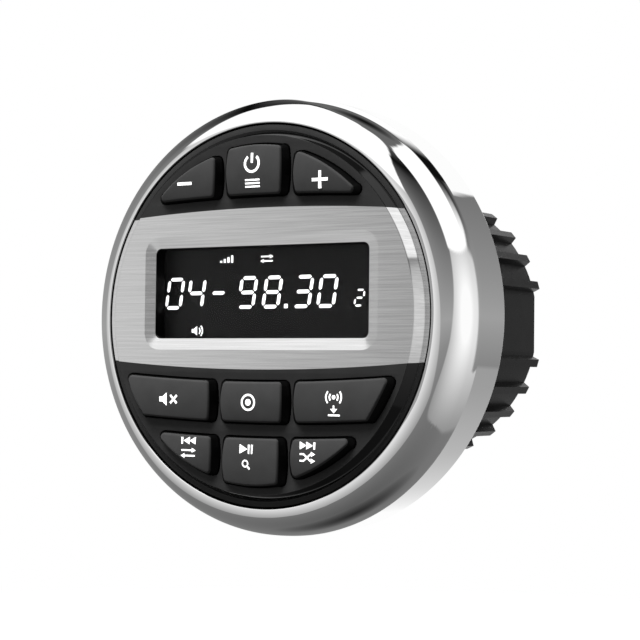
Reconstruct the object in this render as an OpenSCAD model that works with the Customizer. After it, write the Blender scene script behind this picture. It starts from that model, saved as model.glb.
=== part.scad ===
// Marine stereo for a round gauge hole: chrome bezel, raised face with a brushed band, nine push keys,
// a display, and a finned rear body with two clamp studs.
// Origin: centre of the dash seat, the rear face of the gasket. +Z is up, +Y runs back into the dash.

/* [Bezel] */
// Overlap of the bezel past the fin tips, on each side
dash_lap = 17; // [15:0.5:19]
// Width of the rounded ring from its lip to its outside
bezel_w = 7.35; // [6.6:0.05:8]
// Wall of the bezel shell
bezel_wall = 2; // [1.6:0.1:2.2]
// Straight length of the collar
collar_len = 13.2; // [12:0.2:16]
// Axial length of the rounded nose
nose_len = 9.8; // [9:0.2:12]
// Gap between the bezel lip and the face rim
lip_gap = 0.3; // [0.2:0.05:0.5]

/* [Face] */
// Width of the flat rim outside the slope
rim_land = 1.3; // [1:0.1:1.6]
// Radial width of the slope round the raised disc
slope_w = 1.8; // [1.2:0.1:2.2]
// Height of the raised disc over the rim
disc_h = 2.4; // [1.8:0.1:3]
// Depth of the rim below the crown of the bezel
rim_drop = 0.3; // [0:0.1:1]
// Wall of the face panel
face_t = 2; // [1.6:0.1:2.4]

/* [Fascia band] */
// Upper edge of the band over the centre
band_top = 25.9; // [25:0.1:26.5]
// Lower edge of the band below the centre
band_bottom = 13.1; // [12.6:0.1:13.6]
// Radius of the bowed band edges
band_bow_r = 500; // [400:10:700]
// Thickness of the band
band_t = 0.8; // [0.7:0.05:1]
// Clearance of the band in its pocket
band_fit = 0.08; // [0.05:0.01:0.15]

/* [Display] */
// Distance of the window from the edge of the raised disc, on each side
window_side = 12.35; // [11.5:0.05:14]
// Height of the window
window_h = 22.2; // [20:0.2:22.6]
// Height of the window centre over the face centre
window_z = 5.6; // [5:0.1:6]
// Corner radius of the window
window_r = 1.5; // [1:0.1:2.5]
// Width of the bevel round the window
bevel_w = 2.9; // [2:0.1:3.2]
// Depth of the bevel
bevel_depth = 0.7; // [0.4:0.05:0.7]
// Depth of the lens behind the inner edge of the bevel
lens_depth = 3.4; // [3:0.1:3.8]
// Thickness of the lens
lens_t = 1.2; // [1:0.1:1.5]
// Thickness of the display glass
glass_t = 1.9; // [1.6:0.1:2.2]
// Thickness of the backlight
backlight_t = 1.6; // [1.4:0.1:2]

/* [Keys] */
// Land between the key tops and the edge of the raised disc
key_land = 2.25; // [2:0.05:2.8]
// Height of the keys over the raised disc
key_h = 2.4; // [2:0.1:3]
// Travel of a key
key_travel = 1; // [0.6:0.1:1.2]
// Spread of a key from its top to its foot, on each side
key_spread = 0.7; // [0.4:0.05:0.9]
// Corner radius of a key top
key_corner_r = 1; // [0.6:0.1:1.4]
// Gap between key tops in a row
key_gap = 3.4; // [3:0.1:3.8]
// Gap between the two lower rows of key tops
row_gap = 3.8; // [3.4:0.1:4]
// Land between the band and the nearest key tops
row_land = 2.6; // [2.4:0.1:2.8]
// Height of the row below the band
row_h = 9.7; // [9:0.1:10]
// Width of the middle key top in the upper row
upper_key_w = 16; // [15:0.1:17]
// Width of the middle key top in the row below the band
centre_key_w = 17.7; // [16:0.1:18.5]
// Width of the middle key top in the lowest row
lower_key_w = 16.2; // [15:0.1:17]
// Clearance of a key in the panel
key_fit = 0.3; // [0.2:0.05:0.4]
// Width of the flange that keeps a key in
key_flange = 0.8; // [0.6:0.05:0.9]
// Thickness of that flange
key_flange_t = 1.1; // [0.9:0.1:1.3]
// Play of a resting key against the panel
key_slack = 0.1; // [0.05:0.05:0.2]
// Radius of a key plunger
plunger_r = 3; // [2.5:0.1:3.2]

/* [Rear body] */
// Diameter over the fin tips, for a 76.2 mm hole
body_d = 74; // [72:0.5:75]
// Height of the fins
fin_h = 1.9; // [1.4:0.1:2.4]
// Width of a fin at its tip
fin_tip_w = 2.1; // [1.6:0.1:2.4]
// Width of a fin at its root
fin_root_w = 2.7; // [2.4:0.1:3.2]
// Number of fins in the upper half, and again in the lower half
fins_per_half = 13; // [9:2:15]
// Angle of the first fin above and below each side flat
fin_start = 16.5; // [15:0.5:18]
// Depth of the side flats below the fin tips
flat_depth = 2.7; // [2.2:0.1:2.9]
// Wall of the rear housing
body_wall = 2.6; // [2.2:0.1:3]
// Length of the rear housing behind the dash seat
body_len = 56; // [54:1:66]
// Thickness of the rear cover
cover_t = 2; // [1.6:0.1:3]

/* [Dash mounting] */
// Thickness of the dash gasket
gasket_t = 1.5; // [1:0.1:2.5]
// Clearance of the gasket round the fin tips
gasket_fit = 1; // [0.6:0.1:1.6]
// Distance between the mounting studs
stud_spacing = 32; // [30:0.5:34]
// Diameter of the mounting studs
stud_d = 5; // [4:1:6]
// Free length of the mounting studs
stud_len = 25; // [18:1:28]

/* [Connections] */
// Bore of the cable gland
gland_bore_d = 9; // [7:0.5:10]
// Outside thread of the cable gland
gland_thread_d = 16; // [14:0.5:17]
// Bore of the antenna socket
socket_bore_d = 9.4; // [9:0.1:9.6]
// Outside diameter of the antenna socket
socket_d = 12; // [11.6:0.1:13]

/* [Hidden] */
$fn = 96;

// Small overshoot that keeps cuts open
cut = 0.05;

// Heights forward of the dash seat: a height of 10 lies at Y = -10
collar_rear = gasket_t;
nose_rear = collar_rear + collar_len;
crown = nose_rear + nose_len;
rim_front = crown - rim_drop;
rim_rear = rim_front - face_t;
disc_front = rim_front + disc_h;
disc_rear = disc_front - face_t;
key_front = disc_front + key_h;
lens_front = disc_front - bevel_depth - lens_depth;
lens_rear = lens_front - lens_t;
glass_rear = lens_rear - glass_t;
board_front = glass_rear - backlight_t;
board_t = 1.6;
board_rear = board_front - board_t;
flange_t = 3.5;
flange_front = collar_rear + flange_t;
body_rear = -body_len;
cover_front = body_rear + cover_t;
cover_seal_t = 0.8;
cover_seat = cover_front + cover_seal_t;

// Radii of the bezel, face and front housing
tip_r = body_d / 2;
bezel_r = tip_r + dash_lap;
skirt_r = bezel_r - bezel_wall;
lip_r = bezel_r - bezel_w;
rim_r = lip_r - lip_gap;
slope_foot_r = rim_r - rim_land;
disc_r = slope_foot_r - slope_w;
flange_fit = 0.2;
flange_r = skirt_r - flange_fit;
cup_fit = 0.15;
cup_r = rim_r - cup_fit;
cup_wall = 2.6;
cup_bore_r = cup_r - cup_wall;
board_fit = 0.7;
board_r = cup_bore_r - board_fit;
mat_inset = 0.3;
mat_r = board_r - mat_inset;
mat_t = 1.2;
contact_t = 0.1;
gasket_overhang = 0.7;
gasket_r = flange_r + gasket_overhang;
head_sink = 2;

// Radii of the rear housing
root_r = tip_r - fin_h;
flat_x = tip_r - flat_depth;
body_bore_r = root_r - body_wall;
seal_depth = 0.9;
seal_inset = 0.5;
seal_r_out = root_r - seal_inset;
seal_r_in = body_bore_r + seal_inset;
cover_fit = 0.2;
cover_rim = 0.9;
cover_bore_r = flat_x - cover_rim;
cover_r = cover_bore_r - cover_fit;
cover_seal_lap = 0.7;
cover_seal_r_in = body_bore_r - cover_seal_lap;
pillar_r = 4.4;
pillar_blend = 0.5;
pillar_at = body_bore_r + pillar_blend - pillar_r;
pillar_gap = 2.2;
cable_hole_r = pillar_at - pillar_r - pillar_gap;
fin_pitch = (180 - 2 * fin_start) / (fins_per_half - 1);

// Screws as [shank radius, head radius, head height], with the gaps of tapped and of clearance holes
screw_m3 = [1.45, 2.7, 1.6];
screw_m25 = [1.2, 2.2, 1.4];
screw_m2 = [0.95, 1.8, 1.2];
screw_gap = 0.1;
clear_gap = 0.2;
screw_grip = 6.5;
screw_hole = screw_grip + 2.5;
board_grip = 3.9;
board_hole = board_grip + 0.6;

// Display stack
window_w = 2 * (disc_r - window_side);
glass_side = 0.5;
glass_ledge = 1.8;
glass_w = window_w + 2 * glass_side;
glass_h = window_h + 2 * glass_ledge;
frame_fit = 0.2;
frame_wall = 1;
frame_w = glass_w + 2 * (frame_fit + frame_wall);
frame_h = glass_h + 2 * (frame_fit + frame_wall);
lens_margin = 1.6;
strip_w = 1.6;
strip_inset = 0.1;
strip_end = 2.5;
strip_len = glass_w - 2 * strip_end;
strip_at = glass_h / 2 - strip_w / 2 - strip_inset;
backlight_fit = 0.2;
backlight_w = glass_w - 2 * backlight_fit;
backlight_h = 2 * (strip_at - strip_w / 2 - backlight_fit);
window_wall = 2;

// Key rows, from the upper one down: widths, and lower and upper edges, of the key tops
mid_key_w = [upper_key_w, centre_key_w, lower_key_w];
field_r = disc_r - key_land;
row_low = [band_top + row_land, -band_bottom - row_land - row_h, -field_r];
row_high = [field_r, -band_bottom - row_land, row_low[1] - row_gap];
key_foot_r = key_spread + key_fit;
flange_r_out = key_spread + key_flange;

// Keys as [row, side]: side is -1 for left, 0 for middle and 1 for right
volume_down = [0, -1];
power = [0, 0];
volume_up = [0, 1];
mute = [1, -1];
select = [1, 0];
source = [1, 1];
previous = [2, -1];
play = [2, 0];
next = [2, 1];
KEYS = [volume_down, power, volume_up, mute, select, source, previous, play, next];

// Middle of a row along Z, where its middle key's plunger stands
function row_mid(row) = row == 0 ? (row_low[0] + field_r) / 2
    : row == 1 ? (row_low[1] + row_high[1]) / 2 : (row_high[2] - field_r) / 2;
// Inner edge of a side key's top
function side_edge(row) = mid_key_w[row] / 2 + key_gap;
// Outer end of a row on the key circle, at the row's edge that is nearest the centre
function row_reach(row) = sqrt(pow(field_r, 2) - pow(row == 0 ? row_low[0] : row_high[row], 2));
// A side key's plunger stands nearer its deep inner end: its share of the row's reach, and its Z shift
plunger_share = [0.34, 0.42, 0.34];
plunger_shift = [-2, 0, 2];
function side_at(row) = side_edge(row) + (row_reach(row) - side_edge(row)) * plunger_share[row];
// Plunger place of a key
function key_at(key) = key[1] == 0 ? [0, row_mid(key[0])]
    : [key[1] * side_at(key[0]), row_mid(key[0]) + plunger_shift[key[0]]];

// Places of the fixings
frame_top = window_z + frame_h / 2;
frame_low = window_z - frame_h / 2;
board_boss_x = 24;
board_boss_r = 2.3;
board_bosses = [for (x = [-1, 1], z = [(frame_top + row_low[0] - flange_r_out) / 2,
        (frame_low + row_high[1] + flange_r_out) / 2]) [x * board_boss_x, z]];
post_r = 2.6;
post_wall_gap = 0.3;
post_at = cup_bore_r - post_r - post_wall_gap;
post_angle = 12;
posts = [for (x = [-1, 1], z = [-1, 1]) post_at * [x * cos(post_angle), z * sin(post_angle)]];
bezel_boss_r = 2.2;
bezel_boss_shift = 0.2;
bezel_boss_at = (cup_r + skirt_r) / 2 + bezel_boss_shift;
bezel_bosses = [for (a = [45:90:315]) bezel_boss_at * [cos(a), sin(a)]];
pillars = [for (a = [45:90:315]) pillar_at * [cos(a), sin(a)]];

// Main board and what stands on it
main_top = -9.2;
main_t = 1.6;
main_low = main_top - main_t;
main_chord = sqrt(pow(body_bore_r, 2) - pow(main_low, 2));
main_side_gap = 2.2;
main_half_w = main_chord - main_side_gap;
main_front = -4.5;
main_rear_gap = 6.2;
main_rear = cover_seat + main_rear_gap;
rail_h = 4;
rail_w = 5;
rail_floor = 0.5;
rail_grip = rail_h - 2 * rail_floor;
rail_screw_side = 2.6;
rail_screw_end = 5;
rail_screws = [for (x = [-1, 1], h = [main_front - rail_screw_end, main_rear + rail_screw_end])
    [x * (main_half_w - rail_screw_side), h]];
pad_inset = 1.4;
pad_x = main_chord - pad_inset;
pad_h = 18;
pad_drop = 1;
chip_t = 4.8;
chip_len = 26;
chip_shift = 2;
chip_mid = (main_front + main_rear) / 2 - chip_shift;
chip_lift = 2;
chip_low = main_top + chip_lift;
chip_h = 15;
clamp_t = 1.5;
clamp_h = 6;
clamp_foot = 4.5;
clamp_fit = 0.3;
clamp_mid = chip_low + chip_h / 2;
clamp_x = pad_x - chip_t;
clamp_len = chip_len + 2 * (clamp_foot + clamp_fit);
clamp_screw_at = clamp_len / 2 - clamp_foot / 2;
clamp_grip = 2.5;
clamp_hole = clamp_grip + 0.5;

// Rear connections on the cover
gland_flange_d = gland_thread_d + 5;
gland_edge = 4.5;
gland_z = gland_edge + gland_flange_d / 2 - cover_r;
gland_flange_t = 3;
gland_dome_len = 11;
gland_nut_t = 4;
gland_thread_in = gland_nut_t + 1;
socket_out = 10;
socket_flange_d = socket_d + 4;
socket_edge = 7.7;
socket_z = cover_r - socket_flange_d / 2 - socket_edge;
socket_flange_t = 2;
socket_nut_t = 3;
socket_in = 5;
socket_floor = 2;
hole_fit = 0.1;
stud_neck_r = stud_d / 2 + 0.5;
stud_head_t = 3.5;
stud_head_d = stud_d * 2;
header_len = 20;
header_w = 5;
header_h = 6;
ribbon_w = 16;
ribbon_t = 0.8;
main_header_at = main_front - 5;
ribbon_bend_r = 4;
front_header_z = main_top + header_h + ribbon_bend_r;

// Parts on the main board, and their places as [x, height], one behind another from the header
part_gap = 1;
capacitor_r = 6.25;
capacitor_h = 20;
capacitor_side = 0.5;
tuner_w = 16;
tuner_len = 11;
tuner_h = 6;
choke_ring_r = 4;
choke_wire_r = 2.2;
choke_r = choke_ring_r + choke_wire_r;
choke_side = 6.55;
wireless_w = 9;
wireless_len = 9;
wireless_t = 2.2;
harness_w = 14;
harness_len = 5.5;
harness_h = 9;
harness_end = 0.75;
header_rear = main_header_at - header_w / 2;
tuner_rear = header_rear - part_gap - tuner_len;
capacitor_x = capacitor_r + capacitor_side + screw_m2[1] + rail_screw_side - main_half_w;
capacitor_places = [for (i = [0, 1])
    [capacitor_x, header_rear - capacitor_r - part_gap - i * (2 * capacitor_r + part_gap)]];
tuner_place = [2, tuner_rear + tuner_len / 2];
choke_place = [main_half_w - choke_r - choke_side, tuner_rear - part_gap - choke_r];
wireless_place = [-1, tuner_rear - part_gap - wireless_len / 2];
harness_place = [-1, main_rear + harness_end + harness_len / 2];

// Turns a model built as X right, Y up, Z forward into the part's frame
module placed() {
    rotate([90, 0, 0]) children();
}

// Solid of revolution on the face axis from points [radius, height]
module turned(points) {
    rotate_extrude() polygon(points);
}

// Upright slab of a flat outline between two heights
module slab(low, high) {
    translate([0, 0, low]) linear_extrude(high - low) children();
}

// Round bar along the face axis
module bar(r, low, high, at = [0, 0]) {
    translate([at[0], at[1], low]) cylinder(r = r, h = high - low);
}

module rounded_rect(w, h, r) {
    offset(r, $fn = 32) square([w - 2 * r, h - 2 * r], center = true);
}

// Cross-headed screw pointing back along the axis, or forward, its head seated at height h
module screw(size, length, h, at, forward = false) {
    translate([at[0], at[1], h]) mirror([0, 0, forward ? 1 : 0]) difference() {
        union() {
            translate([0, 0, -length]) cylinder(r = size[0], h = length);
            cylinder(r = size[1], h = size[2]);
        }
        for (a = [0, 90]) rotate([0, 0, a]) translate([0, 0, size[2] * 0.95])
            cube([size[1] * 1.2, size[0] * 0.44, size[2]], center = true);
    }
}

// Outer or inner curve of the bezel nose, set in by a wall
function nose_curve(wall, from, to, steps) = [for (i = [0:steps])
    let (a = from + (to - from) * i / steps)
        [lip_r + (bezel_w - wall) * cos(a), nose_rear + (nose_len - wall) * sin(a)]];

module bezel_ring() {
    lip_inner = acos(bezel_wall / (bezel_w - bezel_wall));
    lip_rear = nose_rear + (nose_len - bezel_wall) * sin(lip_inner);
    boss_top = crown - bezel_wall;
    boss_inset = 0.3;
    color("gainsboro") placed() difference() {
        union() {
            turned(concat([[skirt_r, collar_rear], [bezel_r, collar_rear]],
                nose_curve(0, 0, 90, 24), [[lip_r, lip_rear]],
                nose_curve(bezel_wall, lip_inner, 0, 16)));
            intersection() {
                for (p = bezel_bosses) bar(bezel_boss_r, flange_front, boss_top, p);
                turned(concat([[lip_r, collar_rear], [bezel_r, collar_rear]],
                    nose_curve(boss_inset, 0, 90, 24)));
            }
        }
        for (p = bezel_bosses)
            bar(screw_m25[0] + screw_gap, flange_front - cut, flange_front + screw_hole, p);
    }
}

// Outline of a key top, grown by a margin
module key_outline(key, margin) {
    row = key[0];
    side = key[1];
    edge = side_edge(row);
    left = side == 0 ? -mid_key_w[row] / 2 : edge;
    right = side == 0 ? mid_key_w[row] / 2 : field_r;
    mirror([side < 0 ? 1 : 0, 0]) offset(margin, $fn = 24) offset(key_corner_r, $fn = 24)
        offset(-key_corner_r) intersection() {
        circle(field_r, $fn = 96);
        translate([left, row_low[row]]) square([right - left, row_high[row] - row_low[row]]);
    }
}

// Band outline: bowed edges above and below, cut by the face rim
module band_outline(margin = 0) {
    intersection() {
        circle(rim_r);
        translate([0, band_top + margin - band_bow_r]) circle(band_bow_r, $fn = 720);
        translate([0, band_bow_r - band_bottom - margin]) circle(band_bow_r, $fn = 720);
    }
}

// Shell that follows the face between two depths below its front
module face_shell(from, to) {
    turned([[0, disc_front - to], [disc_r, disc_front - to], [slope_foot_r, rim_front - to],
        [rim_r, rim_front - to], [rim_r, rim_front - from], [slope_foot_r, rim_front - from],
        [disc_r, disc_front - from], [0, disc_front - from]]);
}

module window_outline(margin) {
    translate([0, window_z]) rounded_rect(window_w + 2 * margin, window_h + 2 * margin, window_r + margin);
}

module face_panel() {
    color("#36383a") placed() difference() {
        union() {
            face_shell(0, face_t);
            slab(lens_front, disc_rear + cut) window_outline(window_wall);
            for (p = board_bosses) bar(board_boss_r, board_front, disc_rear + cut, p);
            for (p = posts) bar(post_r, flange_front, disc_rear + cut, p);
        }
        intersection() {
            face_shell(-cut, band_t);
            slab(rim_rear - cut, disc_front + cut) band_outline(band_fit);
        }
        slab(lens_front - cut, disc_front + cut) window_outline(0);
        for (k = KEYS) slab(rim_rear, disc_front + cut) key_outline(k, key_foot_r);
        for (p = board_bosses)
            bar(screw_m2[0] + screw_gap, board_front - cut, board_front + board_hole, p);
        for (p = posts) bar(screw_m3[0] + screw_gap, flange_front - cut, flange_front + screw_hole, p);
    }
}

module fascia_plate() {
    bevel_foot = disc_front - bevel_depth;
    color("silver") placed() difference() {
        intersection() {
            face_shell(0, band_t);
            slab(rim_rear, disc_front) band_outline();
        }
        slab(rim_rear, disc_front) window_outline(0);
        hull() {
            slab(bevel_foot, bevel_foot + cut) window_outline(0);
            slab(disc_front, disc_front + cut) window_outline(bevel_w);
        }
    }
}

module display_lens() {
    color("#1c1c1e") placed() slab(lens_rear, lens_front) window_outline(lens_margin);
}

module centred_block(w, h, low, high, z = window_z) {
    translate([-w / 2, z - h / 2, low]) cube([w, h, high - low]);
}

module lcd_glass() {
    color("#2a2d2c") placed() centred_block(glass_w, glass_h, glass_rear, lens_rear);
}

module lcd_backlight() {
    color("ivory") placed() centred_block(backlight_w, backlight_h, board_front, glass_rear);
}

module lcd_frame() {
    bore_w = glass_w + 2 * frame_fit;
    bore_h = glass_h + 2 * frame_fit;
    color("#2c2c2c") placed() difference() {
        centred_block(frame_w, frame_h, board_front, lens_rear);
        centred_block(bore_w, bore_h, board_front - cut, lens_rear + cut);
    }
}

module lcd_contact_strips() {
    color("#5a5a5a") placed() for (side = [-1, 1])
        centred_block(strip_len, strip_w, board_front, glass_rear, window_z + side * strip_at);
}

// Two silicone pads, above and below the display
module keypad_mat() {
    hole_gap = 1.6;
    frame_gap = 0.5;
    boss_gap = 0.6;
    color("#4a4a4c") placed() slab(board_front, board_front + mat_t) difference() {
        circle(mat_r);
        translate([0, window_z]) square([2 * mat_r, frame_h + 2 * frame_gap], center = true);
        for (k = KEYS) translate(key_at(k)) circle(plunger_r + hole_gap);
        for (p = board_bosses) translate(p) circle(board_boss_r + boss_gap);
        for (p = posts) translate(p) circle(post_r + boss_gap);
    }
}

module front_board() {
    post_gap = 0.3;
    color("darkgreen") placed() slab(board_rear, board_front) difference() {
        circle(board_r);
        for (p = posts) translate(p) circle(post_r + post_gap);
        for (p = board_bosses) translate(p) circle(screw_m2[0] + screw_gap);
    }
}

module key_contacts() {
    inset = 0.4;
    color("goldenrod") placed() for (k = KEYS)
        bar(plunger_r - inset, board_front, board_front + contact_t, key_at(k));
}

module key_lamps() {
    lamp = [1.6, 0.8, 0.6];
    lamp_gap = 0.35;
    color("ivory") placed() for (k = KEYS)
        translate([key_at(k)[0] - lamp[0] / 2, key_at(k)[1] + plunger_r + lamp_gap, board_front])
            cube(lamp);
}

module front_board_screws() {
    color("lightsteelblue") placed() for (p = board_bosses)
        screw(screw_m2, board_t + board_grip, board_rear, p, true);
}

module front_housing() {
    color("#2b2b2d") placed() difference() {
        union() {
            bar(flange_r, collar_rear, flange_front);
            bar(cup_r, collar_rear, rim_rear);
        }
        bar(cup_bore_r, flange_front, rim_rear + cut);
        bar(cable_hole_r, collar_rear - cut, flange_front + cut);
        for (p = posts) {
            bar(screw_m3[0] + clear_gap, collar_rear - cut, flange_front + cut, p);
            bar(screw_m3[1] + clear_gap, collar_rear - cut, collar_rear + head_sink, p);
        }
        for (p = bezel_bosses) {
            bar(screw_m25[0] + clear_gap, collar_rear - cut, flange_front + cut, p);
            bar(screw_m25[1] + clear_gap, collar_rear - cut, collar_rear + head_sink, p);
        }
        for (p = pillars) bar(screw_m3[0] + clear_gap, collar_rear - cut, flange_front + cut, p);
        difference() {
            bar(seal_r_out, collar_rear - cut, collar_rear + seal_depth);
            bar(seal_r_in, collar_rear - 2 * cut, collar_rear + seal_depth + cut);
        }
    }
}

module housing_seal() {
    color("#1e1e1e") placed() turned([[seal_r_in, collar_rear], [seal_r_out, collar_rear],
        [seal_r_out, collar_rear + seal_depth], [seal_r_in, collar_rear + seal_depth]]);
}

module face_screws() {
    color("lightsteelblue") placed() for (p = posts)
        screw(screw_m3, flange_t - head_sink + screw_grip, collar_rear + head_sink, p, true);
}

module bezel_screws() {
    color("lightsteelblue") placed() for (p = bezel_bosses)
        screw(screw_m25, flange_t - head_sink + screw_grip, collar_rear + head_sink, p, true);
}

module dash_gasket() {
    color("#202022") placed() turned([[tip_r + gasket_fit, 0], [gasket_r, 0], [gasket_r, gasket_t],
        [tip_r + gasket_fit, gasket_t]]);
}

module housing_screws() {
    color("lightsteelblue") placed() for (p = pillars)
        screw(screw_m3, flange_t + screw_grip, flange_front, p);
}

// Cross-section of the rear housing: root circle cut by the side flats, with fins round it
module body_outline() {
    intersection() {
        circle(root_r);
        square([2 * flat_x, 2 * tip_r], center = true);
    }
    for (half = [0, 180], i = [0:fins_per_half - 1]) rotate(half + fin_start + i * fin_pitch)
        polygon([[root_r - 1, -fin_root_w / 2], [root_r, -fin_root_w / 2], [tip_r, -fin_tip_w / 2],
            [tip_r, fin_tip_w / 2], [root_r, fin_root_w / 2], [root_r - 1, fin_root_w / 2]]);
}

module rear_housing() {
    color("#2a2b2d") placed() difference() {
        slab(body_rear, collar_rear) body_outline();
        difference() {
            bar(body_bore_r, body_rear - cut, collar_rear + cut);
            for (p = pillars) bar(pillar_r, body_rear, collar_rear + 2 * cut, p);
            for (side = [0, 1]) mirror([side, 0, 0])
                translate([main_half_w - rail_w, main_low - rail_h, main_rear])
                    cube([body_bore_r, rail_h, main_front - main_rear]);
            translate([pad_x, chip_low - pad_drop, main_rear])
                cube([body_bore_r, pad_h, main_front - main_rear]);
        }
        bar(cover_bore_r, body_rear - cut, cover_seat);
        for (p = pillars) {
            bar(screw_m3[0] + screw_gap, collar_rear - screw_hole, collar_rear + cut, p);
            bar(screw_m3[0] + screw_gap, cover_seat - cut, cover_seat + screw_hole, p);
        }
        for (p = rail_screws) translate([p[0], main_low + cut, p[1]]) rotate([90, 0, 0])
            cylinder(r = screw_m2[0] + screw_gap, h = rail_h - rail_floor);
        for (side = [-1, 1]) translate([pad_x - cut, clamp_mid, chip_mid + side * clamp_screw_at])
            rotate([0, 90, 0]) cylinder(r = screw_m25[0] + screw_gap, h = clamp_hole);
    }
}

module cover_seal() {
    color("#1e1e1e") placed() turned([[cover_seal_r_in, cover_front], [cover_r, cover_front],
        [cover_r, cover_seat], [cover_seal_r_in, cover_seat]]);
}

module rear_cover() {
    color("#303133") placed() slab(body_rear, cover_front) difference() {
        circle(cover_r);
        for (p = pillars) translate(p) circle(screw_m3[0] + clear_gap);
        translate([0, gland_z]) circle(gland_thread_d / 2 + hole_fit);
        translate([0, socket_z]) circle(socket_d / 2 + hole_fit);
        for (side = [-1, 1]) translate([side * stud_spacing / 2, 0]) circle(stud_neck_r + hole_fit);
    }
}

module cover_screws() {
    color("lightsteelblue") placed() for (p = pillars)
        screw(screw_m3, cover_t + cover_seal_t + screw_grip, body_rear, p, true);
}

module main_board() {
    color("darkgreen") placed() difference() {
        translate([-main_half_w, main_low, main_rear])
            cube([2 * main_half_w, main_t, main_front - main_rear]);
        for (p = rail_screws) translate([p[0], main_top + cut, p[1]]) rotate([90, 0, 0])
            cylinder(r = screw_m2[0] + screw_gap, h = main_t + 2 * cut);
    }
}

// Stands a model on the main board at [x, height], its own Z turned up
module on_board(at) {
    translate([at[0], main_top, at[1]]) rotate([-90, 0, 0]) children();
}

module main_board_screws() {
    color("lightsteelblue") placed() for (p = rail_screws) on_board(p)
        screw(screw_m2, main_t + rail_grip, 0, [0, 0]);
}

module amplifier_chip() {
    pin = [0.6, chip_lift + 1, 0.5];
    pin_count = 13;
    pin_pitch = 1.7;
    color("#222222") placed() union() {
        translate([pad_x - chip_t, chip_low, chip_mid - chip_len / 2]) cube([chip_t, chip_h, chip_len]);
        for (i = [0:pin_count - 1])
            translate([pad_x - chip_t + 1, main_top,
                chip_mid + (i - (pin_count - 1) / 2) * pin_pitch - pin[2] / 2])
                cube(pin);
    }
}

module amplifier_clamp() {
    color("silver") placed() difference() {
        union() {
            translate([clamp_x - clamp_t, clamp_mid - clamp_h / 2, chip_mid - clamp_len / 2])
                cube([clamp_t, clamp_h, clamp_len]);
            for (side = [-1, 1])
                translate([clamp_x - clamp_t, clamp_mid - clamp_h / 2,
                    chip_mid + side * clamp_screw_at - clamp_foot / 2])
                    cube([chip_t + clamp_t, clamp_h, clamp_foot]);
        }
        for (side = [-1, 1])
            translate([clamp_x - clamp_t - cut, clamp_mid, chip_mid + side * clamp_screw_at])
            rotate([0, 90, 0]) cylinder(r = screw_m25[0] + screw_gap, h = chip_t + clamp_t + 2 * cut);
    }
}

module clamp_screws() {
    color("lightsteelblue") placed() for (side = [-1, 1])
        translate([clamp_x - clamp_t, clamp_mid, chip_mid + side * clamp_screw_at])
            rotate([0, -90, 0]) screw(screw_m25, chip_t + clamp_t + clamp_grip, 0, [0, 0]);
}

module filter_capacitors() {
    color("#26303a") placed() for (p = capacitor_places) on_board(p)
        cylinder(r = capacitor_r, h = capacitor_h);
}

module choke_coil() {
    color("peru") placed() on_board(choke_place) translate([0, 0, choke_wire_r])
        rotate_extrude() translate([choke_ring_r, 0]) circle(choke_wire_r, $fn = 32);
}

// Block standing on the main board
module board_block(w, len, h, at) {
    on_board(at) translate([-w / 2, -len / 2, 0]) cube([w, len, h]);
}

module tuner_can() {
    color("lightgray") placed() board_block(tuner_w, tuner_len, tuner_h, tuner_place);
}

module wireless_module() {
    color("steelblue") placed() board_block(wireless_w, wireless_len, wireless_t, wireless_place);
}

module front_header() {
    color("ivory") placed()
        translate([-header_len / 2, front_header_z - header_w / 2, board_rear - header_h])
            cube([header_len, header_w, header_h]);
}

module main_header() {
    color("ivory") placed()
        translate([-header_len / 2, main_top, main_header_at - header_w / 2])
            cube([header_len, header_h, header_w]);
}

// Ribbon from the front header, bent once, down onto the main header
module ribbon_cable() {
    header_end = board_rear - header_h;
    turn_at = main_header_at + ribbon_bend_r;
    color("dimgray") placed() translate([-ribbon_w / 2, 0, 0]) rotate([0, 90, 0])
        linear_extrude(ribbon_w) union() {
        translate([-header_end, front_header_z - ribbon_t / 2]) square([header_end - turn_at, ribbon_t]);
        translate([-turn_at, front_header_z - ribbon_bend_r]) intersection() {
            difference() {
                circle(ribbon_bend_r + ribbon_t / 2);
                circle(ribbon_bend_r - ribbon_t / 2);
            }
            square(ribbon_bend_r * 2);
        }
    }
}

module harness_header() {
    color("ivory") placed() board_block(harness_w, harness_len, harness_h, harness_place);
}

module mounting_studs() {
    color("lightsteelblue") placed() for (side = [-1, 1]) translate([side * stud_spacing / 2, 0, 0]) {
        bar(stud_d / 2, body_rear - stud_len, body_rear);
        bar(stud_neck_r, body_rear, cover_front);
        translate([0, 0, cover_front]) cylinder(d = stud_head_d, h = stud_head_t, $fn = 6);
    }
}

module cable_gland() {
    bore_r = gland_bore_d / 2;
    thread_r = gland_thread_d / 2;
    flange_end = body_rear - gland_flange_t;
    dome_end = flange_end - gland_dome_len;
    dome_taper = 5;
    dome_lip = 1.6;
    color("#242426") placed() translate([0, gland_z, 0]) difference() {
        union() {
            bar(thread_r, body_rear, cover_front + gland_thread_in);
            translate([0, 0, flange_end]) cylinder(d = gland_flange_d, h = gland_flange_t, $fn = 6);
            turned([[0, flange_end], [thread_r, flange_end], [thread_r, dome_end + dome_taper],
                [bore_r + dome_lip, dome_end], [0, dome_end]]);
        }
        bar(bore_r, dome_end - cut, cover_front + gland_thread_in + cut);
    }
}

module gland_nut() {
    color("#2d2d30") placed() translate([0, gland_z, cover_front]) difference() {
        cylinder(d = gland_flange_d, h = gland_nut_t, $fn = 6);
        translate([0, 0, -cut]) cylinder(d = gland_thread_d + 2 * screw_gap, h = gland_nut_t + 2 * cut);
    }
}

module antenna_socket() {
    color("silver") placed() translate([0, socket_z, 0]) difference() {
        union() {
            bar(socket_d / 2, body_rear - socket_out, cover_front + socket_in);
            bar(socket_flange_d / 2, body_rear - socket_flange_t, body_rear);
        }
        bar(socket_bore_d / 2, body_rear - socket_out - cut, cover_front + socket_in - socket_floor);
    }
}

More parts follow.
